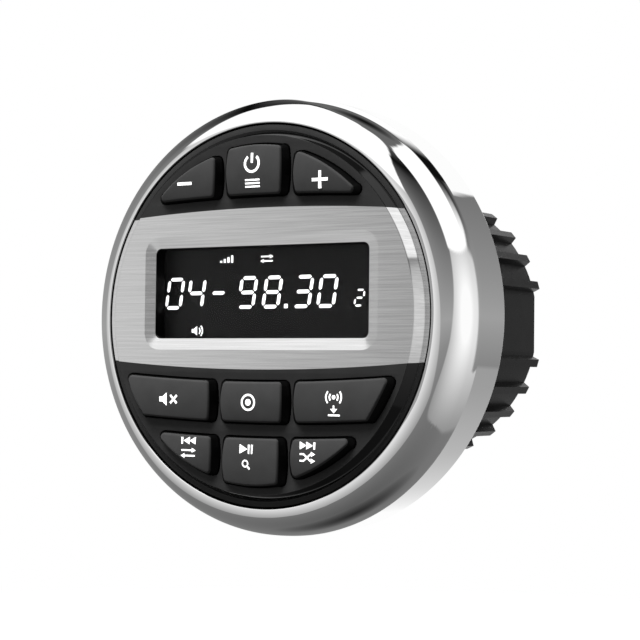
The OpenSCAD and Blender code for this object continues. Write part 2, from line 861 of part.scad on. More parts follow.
module socket_nut() {
    color("silver") placed() translate([0, socket_z, cover_front]) difference() {
        cylinder(d = socket_flange_d, h = socket_nut_t, $fn = 6);
        translate([0, 0, -cut]) cylinder(d = socket_d + 2 * screw_gap, h = socket_nut_t + 2 * cut);
    }
}

// Key cap: flange behind the panel, straight foot, and a tapered top with a softened edge
module key_cap(key) {
    edge = 0.5;
    foot_rise = 0.3;
    flange_high = disc_rear - key_slack;
    foot_high = disc_front + foot_rise;
    color("#4d4f51") placed() union() {
        slab(flange_high - key_flange_t, flange_high) key_outline(key, flange_r_out);
        hull() {
            slab(flange_high - cut, foot_high) key_outline(key, key_spread);
            slab(key_front - edge - cut, key_front - edge) key_outline(key, 0);
            slab(key_front - cut, key_front) key_outline(key, -edge);
        }
    }
}

// Silicone plunger behind a key, ending in its contact pill
module key_plunger(key) {
    high = disc_rear - key_slack - key_flange_t;
    low = board_front + contact_t + key_travel + key_slack;
    color("#39393b") placed() bar(plunger_r, low, high, key_at(key));
}

module key_volume_down() { key_cap(volume_down); }
module key_power() { key_cap(power); }
module key_volume_up() { key_cap(volume_up); }
module key_mute() { key_cap(mute); }
module key_select() { key_cap(select); }
module key_source() { key_cap(source); }
module key_previous() { key_cap(previous); }
module key_play() { key_cap(play); }
module key_next() { key_cap(next); }
module plunger_volume_down() { key_plunger(volume_down); }
module plunger_power() { key_plunger(power); }
module plunger_volume_up() { key_plunger(volume_up); }
module plunger_mute() { key_plunger(mute); }
module plunger_select() { key_plunger(select); }
module plunger_source() { key_plunger(source); }
module plunger_previous() { key_plunger(previous); }
module plunger_play() { key_plunger(play); }
module plunger_next() { key_plunger(next); }

bezel_ring();
face_panel();
fascia_plate();
display_lens();
lcd_glass();
lcd_backlight();
lcd_frame();
lcd_contact_strips();
keypad_mat();
front_board();
key_contacts();
key_lamps();
front_board_screws();
front_housing();
face_screws();
bezel_screws();
dash_gasket();
housing_seal();
housing_screws();
rear_housing();
cover_seal();
rear_cover();
cover_screws();
main_board();
main_board_screws();
amplifier_chip();
amplifier_clamp();
clamp_screws();
filter_capacitors();
choke_coil();
tuner_can();
wireless_module();
front_header();
ribbon_cable();
main_header();
harness_header();
mounting_studs();
cable_gland();
gland_nut();
antenna_socket();
socket_nut();
key_volume_down();
key_power();
key_volume_up();
key_mute();
key_select();
key_source();
key_previous();
key_play();
key_next();
plunger_volume_down();
plunger_power();
plunger_volume_up();
plunger_mute();
plunger_select();
plunger_source();
plunger_previous();
plunger_play();
plunger_next();
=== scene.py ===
"""Looks of the marine stereo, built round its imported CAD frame.

Metres, +Z up. The face looks along -Y, the finned body runs along +Y, and Y = 0 is the dash seat.
"""

from math import acos, asin, atan, atan2, ceil, copysign, cos, degrees
from math import exp, hypot, pi, radians, sin, sqrt, tan, tau

import bmesh
import bpy
from mathutils import Matrix, Vector
from mathutils.geometry import delaunay_2d_cdt


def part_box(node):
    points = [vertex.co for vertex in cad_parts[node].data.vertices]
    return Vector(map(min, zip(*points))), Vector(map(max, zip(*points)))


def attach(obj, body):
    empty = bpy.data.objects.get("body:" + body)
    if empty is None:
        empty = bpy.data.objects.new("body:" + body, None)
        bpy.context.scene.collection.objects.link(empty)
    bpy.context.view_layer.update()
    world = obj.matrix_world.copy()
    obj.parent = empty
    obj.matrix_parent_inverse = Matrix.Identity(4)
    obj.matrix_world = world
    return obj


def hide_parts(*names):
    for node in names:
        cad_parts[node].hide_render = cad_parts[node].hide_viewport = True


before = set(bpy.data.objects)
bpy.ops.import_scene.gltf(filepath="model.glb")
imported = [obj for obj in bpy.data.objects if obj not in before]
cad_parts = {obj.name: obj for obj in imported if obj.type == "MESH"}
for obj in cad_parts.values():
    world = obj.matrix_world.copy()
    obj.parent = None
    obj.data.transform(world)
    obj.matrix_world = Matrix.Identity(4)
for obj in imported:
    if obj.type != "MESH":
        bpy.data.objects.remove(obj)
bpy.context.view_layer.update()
MM = 0.001
CHASSIS = "chassis"

# Sizes read from the frame
BEZEL_LOW, BEZEL_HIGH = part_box("bezel_ring")
BEZEL_R = BEZEL_HIGH.x
CROWN_Y = BEZEL_LOW.y
COLLAR_REAR_Y = BEZEL_HIGH.y
PANEL_LOW, PANEL_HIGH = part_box("face_panel")
DISC_Y = PANEL_LOW.y
RIM_R = PANEL_HIGH.x
BAND_LOW, BAND_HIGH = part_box("fascia_plate")
LENS_LOW, LENS_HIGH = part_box("display_lens")
GLASS_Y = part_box("lcd_glass")[0].y
KEY_LOW, KEY_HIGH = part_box("key_power")
COVER_LOW, COVER_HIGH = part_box("rear_cover")
REAR_Y = COVER_HIGH.y

# Sizes that the CAD source names
LIP_GAP = 0.3 * MM
LIP_R = RIM_R + LIP_GAP
RIM_LAND = 1.3 * MM
SLOPE_W = 1.8 * MM
DISC_H = 2.4 * MM
FACE_T = 2.0 * MM
BAND_BOW_R = 500 * MM
BAND_T = 0.8 * MM
LENS_MARGIN = 1.6 * MM
WINDOW_R = 1.5 * MM
BEVEL_W = 2.9 * MM
BEVEL_DEPTH = 0.7 * MM
KEY_FIT = 0.3 * MM
KEY_SPREAD = 0.7 * MM
KEY_FLANGE = 0.8 * MM
KEY_FLANGE_T = 1.1 * MM
KEY_CORNER_R = 1.0 * MM
KEY_LAND = 2.25 * MM
SLOPE_FOOT_R = RIM_R - RIM_LAND
DISC_R = SLOPE_FOOT_R - SLOPE_W
FIELD_R = DISC_R - KEY_LAND
RIM_Y = DISC_Y + DISC_H
FLANGE_MARGIN = KEY_SPREAD + KEY_FLANGE

WHITE_LEVEL = 255


def linear(level):
    """Linear light of an sRGB level from 0 to 255."""
    c = level / WHITE_LEVEL
    return c / 12.92 if c <= 0.04045 else ((c + 0.055) / 1.055) ** 2.4


def tone(level):
    """Shader colour from an sRGB grey level, or from levels of red, green and blue."""
    parts = level if isinstance(level, tuple) else (level, level, level)
    return tuple(linear(part) for part in parts) + (1.0,)


def ramp(value, points):
    """Straight lines through (place, level) points."""
    for (a, low), (b, high) in zip(points, points[1:]):
        if value <= b:
            return low + (high - low) * max(0.0, (value - a) / (b - a))
    return points[-1][1]


def rises(value, edge):
    """0 below an edge and 1 above it. An edge is a place and its soft width."""
    place, width = edge
    t = min(1.0, max(0.0, (value - place) / width + 0.5))
    return t * t * (3 - 2 * t)


def falls(value, edge):
    """1 below an edge and 0 above it."""
    return 1 - rises(value, edge)


def spread(first, last, steps):
    """Evenly spaced values from first to last."""
    return [first + (last - first) * i / steps for i in range(steps + 1)]


# Materials
NOISE_LOW = 0.3
NOISE_HIGH = 0.7
PLASTIC_RELIEF = 0.05 * MM
METAL_RELIEF = 0.02 * MM
CLOUDS_PER_GRAIN = 12


def set_sockets(sockets, values):
    for name, value in values.items():
        sockets[name].default_value = value


def add_node(tree, kind, values=None, sources=None, **options):
    """New shader node from its options, its constant sockets and the sources of its linked ones."""
    made = tree.nodes.new("ShaderNode" + kind)
    for name, option in options.items():
        setattr(made, name, option)
    set_sockets(made.inputs, values or {})
    for socket, source in (sources or {}).items():
        tree.links.new(source, made.inputs[socket])
    return made


def surface(made):
    return made.node_tree.nodes["Principled BSDF"].inputs


def feed(made, socket, source):
    made.node_tree.links.new(source, surface(made)[socket])


def shader(name, base, roughness, metallic=0.0, specular=0.5):
    """New material, its nodes ready for the helpers below."""
    made = bpy.data.materials.new(name)
    made.use_nodes = True
    set_sockets(surface(made), {"Base Color": base, "Roughness": roughness, "Metallic": metallic,
                                "Specular IOR Level": specular})
    return made


def noise(made, scale, detail=3.0, stretch=(1.0, 1.0, 1.0)):
    """Noise fixed to the object, stretched along its axes."""
    tree = made.node_tree
    place = add_node(tree, "TexCoord").outputs["Object"]
    mapped = add_node(tree, "Mapping", {"Scale": stretch}, {"Vector": place}).outputs["Vector"]
    return add_node(tree, "TexNoise", {"Scale": scale, "Detail": detail}, {"Vector": mapped}).outputs["Fac"]


def vary(made, source, socket, low, high):
    """Moves a number of the shader between two values with a noise."""
    limits = {"From Min": NOISE_LOW, "From Max": NOISE_HIGH, "To Min": low, "To Max": high}
    span = add_node(made.node_tree, "MapRange", limits, {"Value": source})
    feed(made, socket, span.outputs["Result"])


def tint(made, source, dark, light):
    """Moves the colour between two with a noise."""
    colours = add_node(made.node_tree, "ValToRGB", sources={"Fac": source})
    first, last = colours.color_ramp.elements
    first.position, first.color = NOISE_LOW, dark
    last.position, last.color = NOISE_HIGH, light
    feed(made, "Base Color", colours.outputs["Color"])


def bump(made, source, strength, distance):
    depth = {"Strength": strength, "Distance": distance}
    feed(made, "Normal", add_node(made.node_tree, "Bump", depth, {"Height": source}).outputs["Normal"])


def plastic(name, dark, light, roughness, grain=2500, relief=0.15, specular=0.4):
    """Moulded plastic: fine grain in colour, gloss and surface."""
    made = shader(name, tone(light), roughness, specular=specular)
    fine = noise(made, grain)
    tint(made, noise(made, grain / CLOUDS_PER_GRAIN), tone(dark), tone(light))
    vary(made, fine, "Roughness", roughness * 0.88, roughness * 1.12)
    bump(made, fine, relief, PLASTIC_RELIEF)
    return made


def grained(made, grain, dark, light, roughness, relief):
    """Gives a metal its grain in colour, gloss and surface."""
    tint(made, grain, dark, light)
    vary(made, grain, "Roughness", roughness * 0.8, roughness * 1.2)
    bump(made, grain, relief, METAL_RELIEF)
    return made


def metal(name, base, roughness):
    """Metal with a fine grain that makes its colour a little darker in places at random."""
    made = shader(name, base, roughness, metallic=1.0)
    dark = tuple(c * 0.88 for c in base[:3]) + (1.0,)
    return grained(made, noise(made, 1500), dark, base, roughness, 0.1)


def brushed_aluminium(name, roughness, relief):
    """Aluminium with long scratches along X."""
    made = shader(name, tone(224), roughness, metallic=1.0)
    scratches = noise(made, 1.0, detail=4.0, stretch=(45, 300, 2600))
    return grained(made, scratches, tone(217), tone(238), roughness, relief)


def chrome():
    made = shader("chrome_bezel", tone(252), 0.03, metallic=1.0)
    vary(made, noise(made, 60), "Roughness", 0.015, 0.045)
    return made


def clear_plastic():
    """Clear plastic with an anti-glare coat, hence the low index."""
    made = shader("lens_clear", tone(255), 0.04, specular=0.02)
    set_sockets(surface(made), {"Transmission Weight": 1.0, "IOR": 1.1})
    vary(made, noise(made, 300), "Roughness", 0.02, 0.06)
    return made


def lit(made, level, strength):
    """Adds a light of its own to a material."""
    set_sockets(surface(made), {"Emission Color": tone(level), "Emission Strength": strength})
    return made


def glow(name, strength):
    """Lit white marks."""
    made = shader(name, tone(235), 0.5)
    vary(made, noise(made, 900), "Roughness", 0.4, 0.6)
    return lit(made, WHITE_LEVEL, strength)


def base_name(material):
    """Name of a material without the number that Blender may add."""
    return material.name.split(".")[0]


# One finish for each slot of the record. The display's glass lets a little of its back light through.
MATERIALS = {base_name(made): made for made in (
    chrome(),
    plastic("face_black", 43, 47, 0.5, relief=0.1, specular=0.12),
    brushed_aluminium("fascia_aluminium", 0.2, 0.2),
    clear_plastic(),
    lit(plastic("display_dark", 6, 9, 0.45, relief=0.02, specular=0.05), 12, 1.0),
    plastic("white_plastic", 214, 228, 0.5),
    plastic("inner_black", 30, 36, 0.6),
    plastic("keypad_silicone", 66, 76, 0.65),
    plastic("contact_rubber", 50, 58, 0.7),
    plastic("seal_rubber", 26, 34, 0.75, grain=1600, relief=0.5),
    plastic("board_green", (16, 62, 38), (24, 82, 50), 0.4),
    metal("contact_gold", tone((235, 205, 134)), 0.3),
    metal("screw_steel", tone(196), 0.3),
    plastic("body_black", 20, 27, 0.3, grain=1800, relief=0.2, specular=0.17),
    plastic("key_soft", 59, 63, 0.5, grain=3200, relief=0.12, specular=0.1),
    plastic("chip_black", 28, 36, 0.45),
    metal("clamp_aluminium", tone(206), 0.4),
    plastic("capacitor_sleeve", (26, 30, 46), (36, 42, 62), 0.35),
    metal("coil_copper", tone((220, 162, 124)), 0.35),
    metal("can_tin", tone(200), 0.35),
    plastic("module_blue", (26, 52, 112), (36, 68, 138), 0.4),
    plastic("ribbon_grey", 110, 124, 0.55),
    plastic("gland_nylon", 30, 38, 0.5, grain=1400),
    metal("socket_nickel", tone(204), 0.22),
)}
POLISHED = brushed_aluminium("fascia_polished", 0.05, 0.02)
# Key sides: near-black, a painted shade for the shadow that falls on the sides of the keys
KEY_WALL_SHADE = plastic("key_wall_black", 4, 7, 0.7, specular=0.1)
SLOPE_GLOSS = plastic("face_gloss_black", 3, 5, 0.06, relief=0.0, specular=0.4)
# Walls of the key openings and of the display window: near-black, a painted shade for the shade in these
# recesses
RECESS_SHADE = plastic("recess_painted_shade", 4, 7, 0.6, specular=0.15)
LEGEND = glow("legend_white", 0.9)
SEGMENT = glow("segment_white", 1.0)


# Meshes. Angles are in degrees, and sections are lists of (radius, y).
MERGE = 1e-7


def arc(centre, radii, start, end, steps):
    """Points of an ellipse's arc."""
    angles = [radians(a) for a in spread(start, end, steps)]
    return [(centre[0] + radii[0] * cos(a), centre[1] + radii[1] * sin(a)) for a in angles]


def round_arc(centre, radius, start, end, steps):
    return arc(centre, (radius, radius), start, end, steps)


def turned(section, steps, start=None, end=None):
    """Loops of a section round the face axis. start and end give the angles at a radius."""
    loops = []
    for radius, y in section:
        first = start(radius) if start else 0.0
        last = end(radius) if end else 360 * (1 - 1 / steps)
        loops.append([(x, y, z) for x, z in round_arc((0, 0), radius, first, last, steps - 1)])
    return loops


def polar_loop(centre, y, radius, steps):
    """Loop round a line along Y through centre (x, z); the radius may depend on the angle in radians."""
    angles = [tau * i / steps for i in range(steps)]
    reach = radius if callable(radius) else lambda a: radius
    return [(centre[0] + reach(a) * cos(a), y, centre[1] + reach(a) * sin(a)) for a in angles]


def grown(outline, margin):
    """Points (x, z) of an outline grown by a margin that may depend on the normal's x."""
    reach = margin if callable(margin) else lambda nx: margin
    return [(x + nx * reach(nx), z + nz * reach(nx)) for (x, z), (nx, nz) in outline]


def outline_loop(outline, margin, y):
    """A grown outline at a depth that may depend on z."""
    depth = y if callable(y) else lambda z: y
    return [(x, depth(z), z) for x, z in grown(outline, margin)]


def add_object(name, data):
    """New object in the scene."""
    made = bpy.data.objects.new(name, data)
    bpy.context.scene.collection.objects.link(made)
    return made


def mesh_object(name, verts, faces, looks):
    """New mesh in the scene, with its materials."""
    mesh = bpy.data.meshes.new(name)
    mesh.from_pydata(verts, [], faces)
    for look in looks:
        mesh.materials.append(look)
    return add_object(name, mesh)


def shade(mesh, sharp_angle):
    """Smooth shading, with edges over an angle kept sharp."""
    work = bmesh.new()
    work.from_mesh(mesh)
    bmesh.ops.remove_doubles(work, verts=work.verts, dist=MERGE)
    bmesh.ops.recalc_face_normals(work, faces=work.faces)
    for face in work.faces:
        face.smooth = True
    for edge in work.edges:
        edge.smooth = len(edge.link_faces) == 2 and edge.calc_face_angle() < sharp_angle
    work.to_mesh(mesh)
    work.free()


class Shape:
    """Vertices, faces and a material for each face, gathered from several parts."""

    def __init__(self):
        self.verts, self.faces, self.looks = [], [], []

    def add(self, verts, faces, look):
        start = len(self.verts)
        self.verts += verts
        self.faces += [tuple(start + i for i in face) for face in faces]
        self.looks += [look] * len(faces)

    def loft(self, loops, look, wrap=False, ends=True, closed=True):
        """Skin over loops of equally many points; wrap joins the last loop to the first."""
        size = len(loops[0])
        steps = size if closed else size - 1
        count = len(loops)
        verts = [p for loop in loops for p in loop]
        faces = []
        for i in range(count if wrap else count - 1):
            low, high = i * size, (i + 1) % count * size
            faces += [(low + j, low + (j + 1) % size, high + (j + 1) % size, high + j)
                      for j in range(steps)]
        if ends and not wrap:
            faces += [tuple(range(size)), tuple(reversed(range((count - 1) * size, count * size)))]
        self.add(verts, faces, look)

    def skin(self, outline, stages, look, wrap=False, ends=False):
        """Skin over an outline at stages of (margin, y)."""
        self.loft([outline_loop(outline, margin, y) for margin, y in stages], look, wrap, ends)

    def spin(self, section, look, centre, steps, wrap=False):
        """Skin of a section round a line along Y through centre (x, z)."""
        self.loft([polar_loop(centre, y, radius, steps) for radius, y in section], look, wrap)

    def piece(self, name, sharp, body=CHASSIS, stands_for=None):
        """New piece of the object, riding on a CAD body, its edges over an angle left sharp."""
        looks = list(dict.fromkeys(self.looks))
        made = mesh_object(name, self.verts, self.faces, looks)
        made.data.polygons.foreach_set("material_index", [looks.index(look) for look in self.looks])
        shade(made.data, radians(sharp))
        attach(made, body)
        if stands_for:
            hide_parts(stands_for)


# Outlines on the face: lists of ((x, z), (normal x, normal z))
NEAR = 0.01


def straight(a, b, share):
    return a[0] + (b[0] - a[0]) * share, a[1] + (b[1] - a[1]) * share


def rounded(corners, radius, paths=None, steps=8):
    """Outline round inset corners, anticlockwise. paths gives each edge the line that it runs along."""
    count = len(corners)
    paths = paths or [straight] * count

    def run(edge, share):
        return paths[edge](corners[edge], corners[(edge + 1) % count], share)

    def normal(edge, share):
        (x0, z0), (x1, z1) = run(edge, share - NEAR), run(edge, share + NEAR)
        return atan2(x0 - x1, z1 - z0)

    outline = []
    for i, corner in enumerate(corners):
        first, last = normal((i - 1) % count, 1), normal(i, 0)
        last += tau * ceil((first - last) / tau)
        places = [(corner, turn) for turn in spread(first, last, steps)]
        if paths[i] is not straight:
            shares = spread(0, 1, 3 * steps)[1:-1]
            places += [(run(i, share), normal(i, share)) for share in shares]
        for (x, z), turn in places:
            n = (cos(turn), sin(turn))
            outline.append(((x + radius * n[0], z + radius * n[1]), n))
    return outline


def box_outline(low, high, radius):
    """Outline of an upright box with rounded corners."""
    x0, z0, x1, z1 = low[0] + radius, low[1] + radius, high[0] - radius, high[1] - radius
    return rounded([(x0, z0), (x1, z0), (x1, z1), (x0, z1)], radius)


def mirrored(outline):
    return [((-x, z), (-nx, nz)) for (x, z), (nx, nz) in reversed(outline)]


def filled(loops, y):
    """Flat face at a depth: the first loop of (x, z) points filled, the others left open."""
    curve = bpy.data.curves.new("outline", "CURVE")
    curve.dimensions = "2D"
    curve.fill_mode = "BOTH"
    for loop in loops:
        spline = curve.splines.new("POLY")
        spline.points.add(len(loop) - 1)
        for point, (x, z) in zip(spline.points, loop):
            point.co = (x, z, 0.0, 1.0)
        spline.use_cyclic_u = True
    holder = add_object("outline", curve)
    mesh = bpy.data.meshes.new_from_object(holder.evaluated_get(bpy.context.evaluated_depsgraph_get()))
    verts = [(v.co.x, y, v.co.y) for v in mesh.vertices]
    faces = [tuple(p.vertices) for p in mesh.polygons]
    bpy.data.objects.remove(holder)
    bpy.data.curves.remove(curve)
    bpy.data.meshes.remove(mesh)
    return verts, faces


# Camera, at the place that the photograph was taken from
CAMERA_PLACE = Vector((243.36, -383.72, -14.14)) * MM
CAMERA_AZIMUTH = 32.238
CAMERA_ELEVATION = -1.738
CAMERA_ROLL = 0.64
CAMERA_LENS = 101.01
CAMERA_SENSOR = 36.0
CAMERA_CLIP = (0.01, 100.0)


def make_camera():
    data = bpy.data.cameras.new("camera")
    data.lens = CAMERA_LENS
    data.sensor_width = CAMERA_SENSOR
    data.clip_start, data.clip_end = CAMERA_CLIP
    place = Matrix.Translation(CAMERA_PLACE)
    for turn, axis in ((CAMERA_AZIMUTH, "Z"), (90 - CAMERA_ELEVATION, "X"), (CAMERA_ROLL, "Z")):
        place = place @ Matrix.Rotation(radians(turn), 4, axis)
    camera = add_object("camera", data)
    camera.matrix_world = place
    bpy.context.scene.camera = camera


# Studio: a tent of grey cloth with white softboxes, seen only in reflections, over a white floor.
# Levels are sRGB. Edges are pairs of a place and a soft width, and lists are points of a ramp.
TENT_R = 6.0
SOFTBOX_LIGHT = 1.1
AMBIENT = 0.15
FLOOR_Z = -115 * MM
FLOOR_HALF = 4.0
FLOOR_SHADOW = (0.15, 0.4)
CARD_PLACE = Vector((-91, -372, 18)) * MM
CARD_HALF = (57 * MM, 87 * MM)
CARD_LEVEL = 156
SQUARE = ((-1, -1), (1, -1), (1, 1), (-1, 1))

# Bare cloth by elevation, its plain rear, a dark arc on the left by azimuth, and two dark spots
CLOTH = [(-90, 90), (-30, 120), (-10, 138), (0, 160), (24, 123), (48, 78), (56, 58), (64, 13), (72, 60),
         (80, 92), (90, 100)]
PLAIN_LEVEL = 102
PLAIN_RIGHT = (90, 14)
PLAIN_LEFT = (-139, 6)
PLAIN_FOOT = (46, 6)
DARK_ARC = [(-150, 12), (-138, 28), (-126, 40.5), (-108, 48.7), (-80, 58)]
DARK_ARC_DEPTH = 0.92
DARK_ARC_SOFT = 9
DARK_SPOTS = (((-169, 62), 0.06, 13), ((-168, -62), 0.38, 43))

# Two round pools of light as (azimuth, drift, level, fall, squeeze, core), and the shade that the band shows
POOLS = ((113, -18, 262, 2.9, 0.65, 8), (-22, 0, 246, 1.75, 0.75, 0))
POOL_HEIGHT = 2
POOL_FOOT = -46
POOL_DRIFT = (-44, -8)
POOL_WAIST = -25
POOL_WAIST_HALF = 57
POOL_LOWER = 18.5
POOL_HALF = 44
POOL_TAPER = 0.55
POOL_EDGE = (0, 5)
BAND_SHADE = [(-41, 1.08), (-30, 0.75), (-25, 0.75), (-20, 1.0)]
BAND_SHADE_EL = (-6, 12)

# Softboxes over the front, on the right and behind on the left
FRONT_BOX_FOOT = [(-180, 84.5), (-150, 79.5), (-138, 74), (-133, 59), (-108, 55.5), (-84, 46), (-72, 39),
                  (-60, 27.5), (-33, 14), (3, 29), (12, 43), (22, 55), (36, 66), (60, 74), (90, 78.5),
                  (150, 84.5)]
FRONT_BOX_SOFT = 2.5
SIDE_BOX_FOOT = [(80, 29), (145, 22), (160, 32), (176, 40)]
SIDE_BOX_HEAD = [(80, 71), (95, 74), (120, 74.5), (140, 70), (160, 61.5), (176, 48)]
SIDE_BOX_FRONT = (81.5, 5)
SIDE_BOX_REAR = (178, 3)
SIDE_BOX_SOFT = 2
REAR_BOX_FRONT = (-144, 3)
REAR_BOX_FOOT = (10, 3)
REAR_BOX_HEAD = (42, 4)

# Straight behind, by the turn round the face axis: grey on the right, a pale floor below, white elsewhere
REAR_RIGHT = [(-25, 134), (3, 160), (27, 144), (74, 117)]
REAR_BELOW = [(-126, 252), (-103, 215), (-77, 185), (-37, 159), (-25, 156)]
REAR_REACH = 33.3
REAR_RIGHT_REACH = 37.5
REAR_SOFT = 1.5
DUSK_START = (55, 40)
DUSK_END = (99, 22)
DUSK_REACH = (42, 3)
DUSK_DEPTH = 0.85
DUSK_INNER = (35.5, 4)
DUSK_INNER_DEPTH = 0.8


def direction(az, el):
    """Way to a place in the sky: az from the front towards +X, el upwards."""
    a, e = radians(az), radians(el)
    return sin(a) * cos(e), -cos(a) * cos(e), sin(e)


def turn_between(az, centre):
    """Signed turn from one azimuth to another, the short way round."""
    return (az - centre + 180) % 360 - 180


def cloth_level(az, el):
    """Level of the bare cloth: brightest at the horizon, darkest just under the large softbox."""
    level = ramp(el, CLOTH)
    plain = max(rises(az, PLAIN_RIGHT), falls(az, PLAIN_LEFT)) * rises(el, PLAIN_FOOT)
    level += (PLAIN_LEVEL - level) * plain
    if az < DARK_ARC[-1][0]:
        off = abs(el - ramp(az, DARK_ARC))
        level *= 1 - DARK_ARC_DEPTH * (1 - plain) * exp(-off / DARK_ARC_SOFT)
    for (spot_az, spot_el), least, reach in DARK_SPOTS:
        side = turn_between(az, spot_az) * cos(radians((el + spot_el) / 2))
        level *= min(1.0, least + hypot(side, el - spot_el) / reach)
    return level


def pool_half(el):
    """Half width of a round pool of light at an elevation."""
    if el > POOL_WAIST:
        return POOL_HALF - POOL_TAPER * el
    return POOL_WAIST_HALF * sqrt(max(0.0, 1 - ((el - POOL_WAIST) / POOL_LOWER) ** 2))


def light_pool(az, el, centre, drift, level, fall, squeeze, core):
    """Level of a pool of light that drifts sideways low down, and how much of it shows."""
    moved = ramp(el, [(POOL_DRIFT[0], drift), (POOL_DRIFT[1], 0)])
    side = abs(turn_between(az, centre + moved))
    off = hypot(side * squeeze, el - POOL_HEIGHT)
    return level - fall * max(0.0, off - core), rises(pool_half(el) - side, POOL_EDGE) * (el > POOL_FOOT)


def softboxes(az, el):
    """How white the softboxes make a direction."""
    front = rises(el, (ramp(az, FRONT_BOX_FOOT), FRONT_BOX_SOFT))
    side = rises(az, SIDE_BOX_FRONT) * falls(az, SIDE_BOX_REAR)
    side *= rises(el, (ramp(az, SIDE_BOX_FOOT), SIDE_BOX_SOFT))
    side *= falls(el, (ramp(az, SIDE_BOX_HEAD), SIDE_BOX_SOFT))
    rear = falls(az, REAR_BOX_FRONT) * rises(el, REAR_BOX_FOOT) * falls(el, REAR_BOX_HEAD)
    return max(front, side, rear)


def rear_level(turn):
    """Level straight behind, by the turn round the face axis."""
    if turn > REAR_RIGHT[-1][0] or turn < REAR_BELOW[0][0]:
        return WHITE_LEVEL
    return ramp(turn, REAR_RIGHT if turn > REAR_RIGHT[0][0] else REAR_BELOW)


def tent_light(az, el):
    """Light of the tent in a direction."""
    level = cloth_level(az, el)
    for pool in POOLS:
        bright, shown = light_pool(az, el, *pool)
        level += (max(bright, level) - level) * shown
    if BAND_SHADE_EL[0] < el < BAND_SHADE_EL[1] and BAND_SHADE[0][0] <= az < BAND_SHADE[-1][0]:
        level *= ramp(az, BAND_SHADE)
    white = softboxes(az, el)
    x, y, z = direction(az, el)
    off = degrees(acos(max(-1.0, min(1.0, y))))
    turn = degrees(atan2(z, x))
    dusk = rises(turn, DUSK_START) * falls(turn, DUSK_END)
    edge = dusk * falls(off, DUSK_REACH)
    level *= 1 - DUSK_DEPTH * edge
    white *= 1 - edge
    on_right = REAR_RIGHT[0][0] < turn < REAR_RIGHT[-1][0]
    behind = falls(off, (REAR_RIGHT_REACH if on_right else REAR_REACH, REAR_SOFT))
    back = rear_level(turn) * (1 - DUSK_INNER_DEPTH * dusk * rises(off, DUSK_INNER))
    white *= 1 - behind
    level += (back - level) * behind
    light = linear(min(level, WHITE_LEVEL))
    return light + (SOFTBOX_LIGHT - light) * white


def staged(name, verts, faces, look, unseen_by):
    """Mesh of the studio, hidden from some kinds of ray."""
    made = mesh_object(name, verts, faces, [look])
    for ray in unseen_by:
        setattr(made, "visible_" + ray, False)
    return made


def only_reflected(name, verts, faces, look):
    return staged(name, verts, faces, look, ("camera", "diffuse", "transmission", "shadow"))


def output_of(tree):
    return tree.nodes["Material Output"].inputs["Surface"]


def light_source(name):
    """New material that gives off light, and the node that does."""
    made = bpy.data.materials.new(name)
    made.use_nodes = True
    emit = add_node(made.node_tree, "Emission")
    made.node_tree.links.new(emit.outputs["Emission"], output_of(made.node_tree))
    return made, emit


def make_tent():
    """Dome round the object, with a light for each whole degree."""
    turns, heights = range(-180, 180), range(-90, 91)
    columns, rows = len(turns), len(heights)
    places = [(az, el) for az in turns for el in heights]
    verts = [[TENT_R * c for c in direction(az, el)] for az, el in places]
    faces = []
    for i in range(columns):
        here, beyond = i * rows, (i + 1) % columns * rows
        faces += [(here + j, beyond + j, beyond + j + 1, here + j + 1) for j in range(rows - 1)]
    cloth, emit = light_source("tent_cloth")
    read = add_node(cloth.node_tree, "Attribute", attribute_name="light")
    cloth.node_tree.links.new(read.outputs["Fac"], emit.inputs["Strength"])
    tent = only_reflected("tent", verts, faces, cloth)
    light = tent.data.attributes.new("light", "FLOAT", "POINT")
    light.data.foreach_set("value", [tent_light(az, el) for az, el in places])


def make_card():
    """Grey card before the face: it shades the window frame's left side."""
    look, emit = light_source("card_grey")
    emit.inputs["Color"].default_value = tone(CARD_LEVEL)
    verts = [(x * CARD_HALF[0], 0.0, z * CARD_HALF[1]) for x, z in SQUARE]
    only_reflected("card", verts, [(0, 1, 2, 3)], look).location = CARD_PLACE


def background_share(tree):
    """1 for rays that see the background itself: camera, mirror and glass rays."""
    path = add_node(tree, "LightPath").outputs
    total = path["Is Camera Ray"]
    for ray in ("Is Glossy Ray", "Is Transmission Ray"):
        total = add_node(tree, "Math", sources={0: total, 1: path[ray]}, operation="MAXIMUM").outputs["Value"]
    return total


def make_world():
    """White where it is seen, and soft even light on the object."""
    world = bpy.data.worlds.new("studio")
    world.use_nodes = True
    tree = world.node_tree
    background = tree.nodes["Background"].inputs
    background["Color"].default_value = (1.0, 1.0, 1.0, 1.0)
    level = add_node(tree, "MapRange", {"To Min": AMBIENT, "To Max": 1.0}, {"Value": background_share(tree)})
    tree.links.new(level.outputs["Result"], background["Strength"])
    bpy.context.scene.world = world


def make_floor():
    """Pale floor: it takes the object's shadow near by, and is plain white further off."""
    look = shader("floor_white", tone(246), 0.9, specular=0.0)
    tree = look.node_tree
    cloth = tree.nodes["Principled BSDF"].outputs["BSDF"]
    white = add_node(tree, "Emission").outputs["Emission"]
    place = add_node(tree, "TexCoord").outputs["Object"]
    reach = add_node(tree, "VectorMath", sources={0: place}, operation="LENGTH").outputs["Value"]
    limits = {"From Min": FLOOR_SHADOW[0], "From Max": FLOOR_SHADOW[1]}
    fade = add_node(tree, "MapRange", limits, {"Value": reach}, interpolation_type="SMOOTHSTEP")
    shares = {0: fade.outputs["Result"], 1: background_share(tree)}
    seen = add_node(tree, "Math", sources=shares, operation="MULTIPLY").outputs["Value"]
    mix = add_node(tree, "MixShader", sources={"Fac": seen, 1: cloth, 2: white})
    tree.links.new(mix.outputs["Shader"], output_of(tree))
    verts = [(x * FLOOR_HALF, y * FLOOR_HALF, 0.0) for x, y in SQUARE]
    staged("floor", verts, [(0, 1, 2, 3)], look, ("glossy", "diffuse")).location.z = FLOOR_Z


